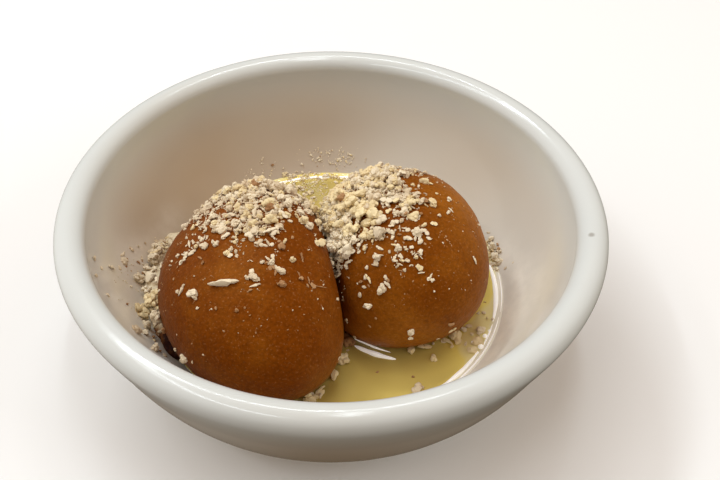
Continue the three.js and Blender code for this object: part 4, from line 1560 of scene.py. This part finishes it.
class DESSERT_OT_stage(bpy.types.Operator):
    """Set the floor, the lights and the camera"""

    bl_idname = "dessert.stage"
    bl_label = "Stage"

    def execute(self, context):
        settings = context.scene.dessert_stage
        scene = context.scene
        bm = bmesh.new()
        bmesh.ops.create_circle(bm, cap_ends=True, radius=FLOOR_REACH, segments=96)
        mesh = bpy.data.meshes.new("floor")
        bm.to_mesh(mesh)
        bm.free()
        # A plain matt tabletop.
        material, tree = new_material("matt_tabletop")
        shader = add(
            tree,
            "BsdfPrincipled",
            {"Base Color": opaque(settings.floor), "Roughness": 0.9, "Specular IOR Level": 0.1},
        )
        add(tree, "OutputMaterial", {"Surface": shader})
        mesh.materials.append(material)
        floor = bpy.data.objects.new("floor", mesh)
        context.collection.objects.link(floor)
        floor.visible_diffuse = False
        floor.visible_glossy = False

        scene.world = self.room()
        for name, place, size, share in LAMPS:
            lamp = area_light(name, place, LAMP_TARGET, size, settings.key * share, LAMP_COLOUR)
            lamp.visible_glossy = name != "lamp_right"

        camera = bpy.data.cameras.new("camera")
        camera.sensor_width = SENSOR_WIDTH
        camera.lens = settings.lens
        camera.shift_x = CAMERA_SHIFT
        camera.clip_start = 0.01
        holder = bpy.data.objects.new("camera", camera)
        holder.location = CAMERA_PLACE
        holder.rotation_euler = (settings.pitch, 0, 0)
        context.collection.objects.link(holder)
        scene.camera = holder
        scene.view_settings.view_transform = "Standard"
        return {"FINISHED"}

    @staticmethod
    def room():
        """The light of a room that is bright on two sides and dark behind the camera."""
        world = bpy.data.worlds.new("studio")
        world.use_nodes = True
        tree = world.node_tree
        tree.nodes.clear()
        way = add(tree, "TexCoord").outputs["Generated"]
        glow = None
        for side, colour in ROOM_SIDES:
            facing = add(tree, "VectorMath", {0: way, 1: side}, operation="DOT_PRODUCT")
            lit = add(tree, "Math", {0: facing, 1: 0}, operation="MAXIMUM")
            soft = add(tree, "Math", {0: lit, 1: 2}, operation="POWER")
            part = add(tree, "VectorMath", {0: colour, "Scale": soft}, operation="SCALE")
            if glow:
                part = add(tree, "VectorMath", {0: part, 1: glow}, operation="ADD")
            glow = part
        room = add(tree, "Background", {"Color": glow})
        plain = add(tree, "Background", {"Color": (0.8, 0.8, 0.8, 1)})
        seen = add(tree, "LightPath").outputs["Is Camera Ray"]
        mix = add(tree, "MixShader", {0: seen, 1: room, 2: plain})
        add(tree, "OutputWorld", {"Surface": mix})
        return world


class DESSERT_PT_panel(bpy.types.Panel):
    """The dessert's pieces and settings"""

    bl_idname = "DESSERT_PT_panel"
    bl_label = "Sweets in syrup"
    bl_space_type = "VIEW_3D"
    bl_region_type = "UI"
    bl_category = "Dessert"

    def draw(self, context):
        for name, operators in PARTS:
            box = self.layout.box()
            group = getattr(context.scene, name)
            for key in group.bl_rna.properties.keys():
                if key not in ("rna_type", "name"):
                    box.prop(group, key)
            for operator in operators:
                box.operator(operator)


SETTINGS = {
    "dessert_bowl": BowlSettings,
    "dessert_syrup": SyrupSettings,
    "dessert_sweets": SweetSettings,
    "dessert_nuts": NutSettings,
    "dessert_stage": StageSettings,
}
PARTS = (
    ("dessert_bowl", ("dessert.bowl",)),
    ("dessert_sweets", ("dessert.sweets",)),
    ("dessert_syrup", ("dessert.syrup",)),
    ("dessert_nuts", ("dessert.heap", "dessert.nuts")),
    ("dessert_stage", ("dessert.stage",)),
)
CLASSES = (
    *SETTINGS.values(),
    DESSERT_OT_bowl,
    DESSERT_OT_sweets,
    DESSERT_OT_syrup,
    DESSERT_OT_heap,
    DESSERT_OT_nuts,
    DESSERT_OT_stage,
    DESSERT_PT_panel,
)


def register():
    for made in CLASSES:
        bpy.utils.register_class(made)
    for name, group in SETTINGS.items():
        setattr(bpy.types.Scene, name, PointerProperty(type=group))


def unregister():
    for name in SETTINGS:
        delattr(bpy.types.Scene, name)
    for made in reversed(CLASSES):
        bpy.utils.unregister_class(made)


def main():
    register()
    for _, operators in PARTS:
        for operator in operators:
            group, name = operator.split(".")
            getattr(getattr(bpy.ops, group), name)()


if __name__ == "__main__":
    main()
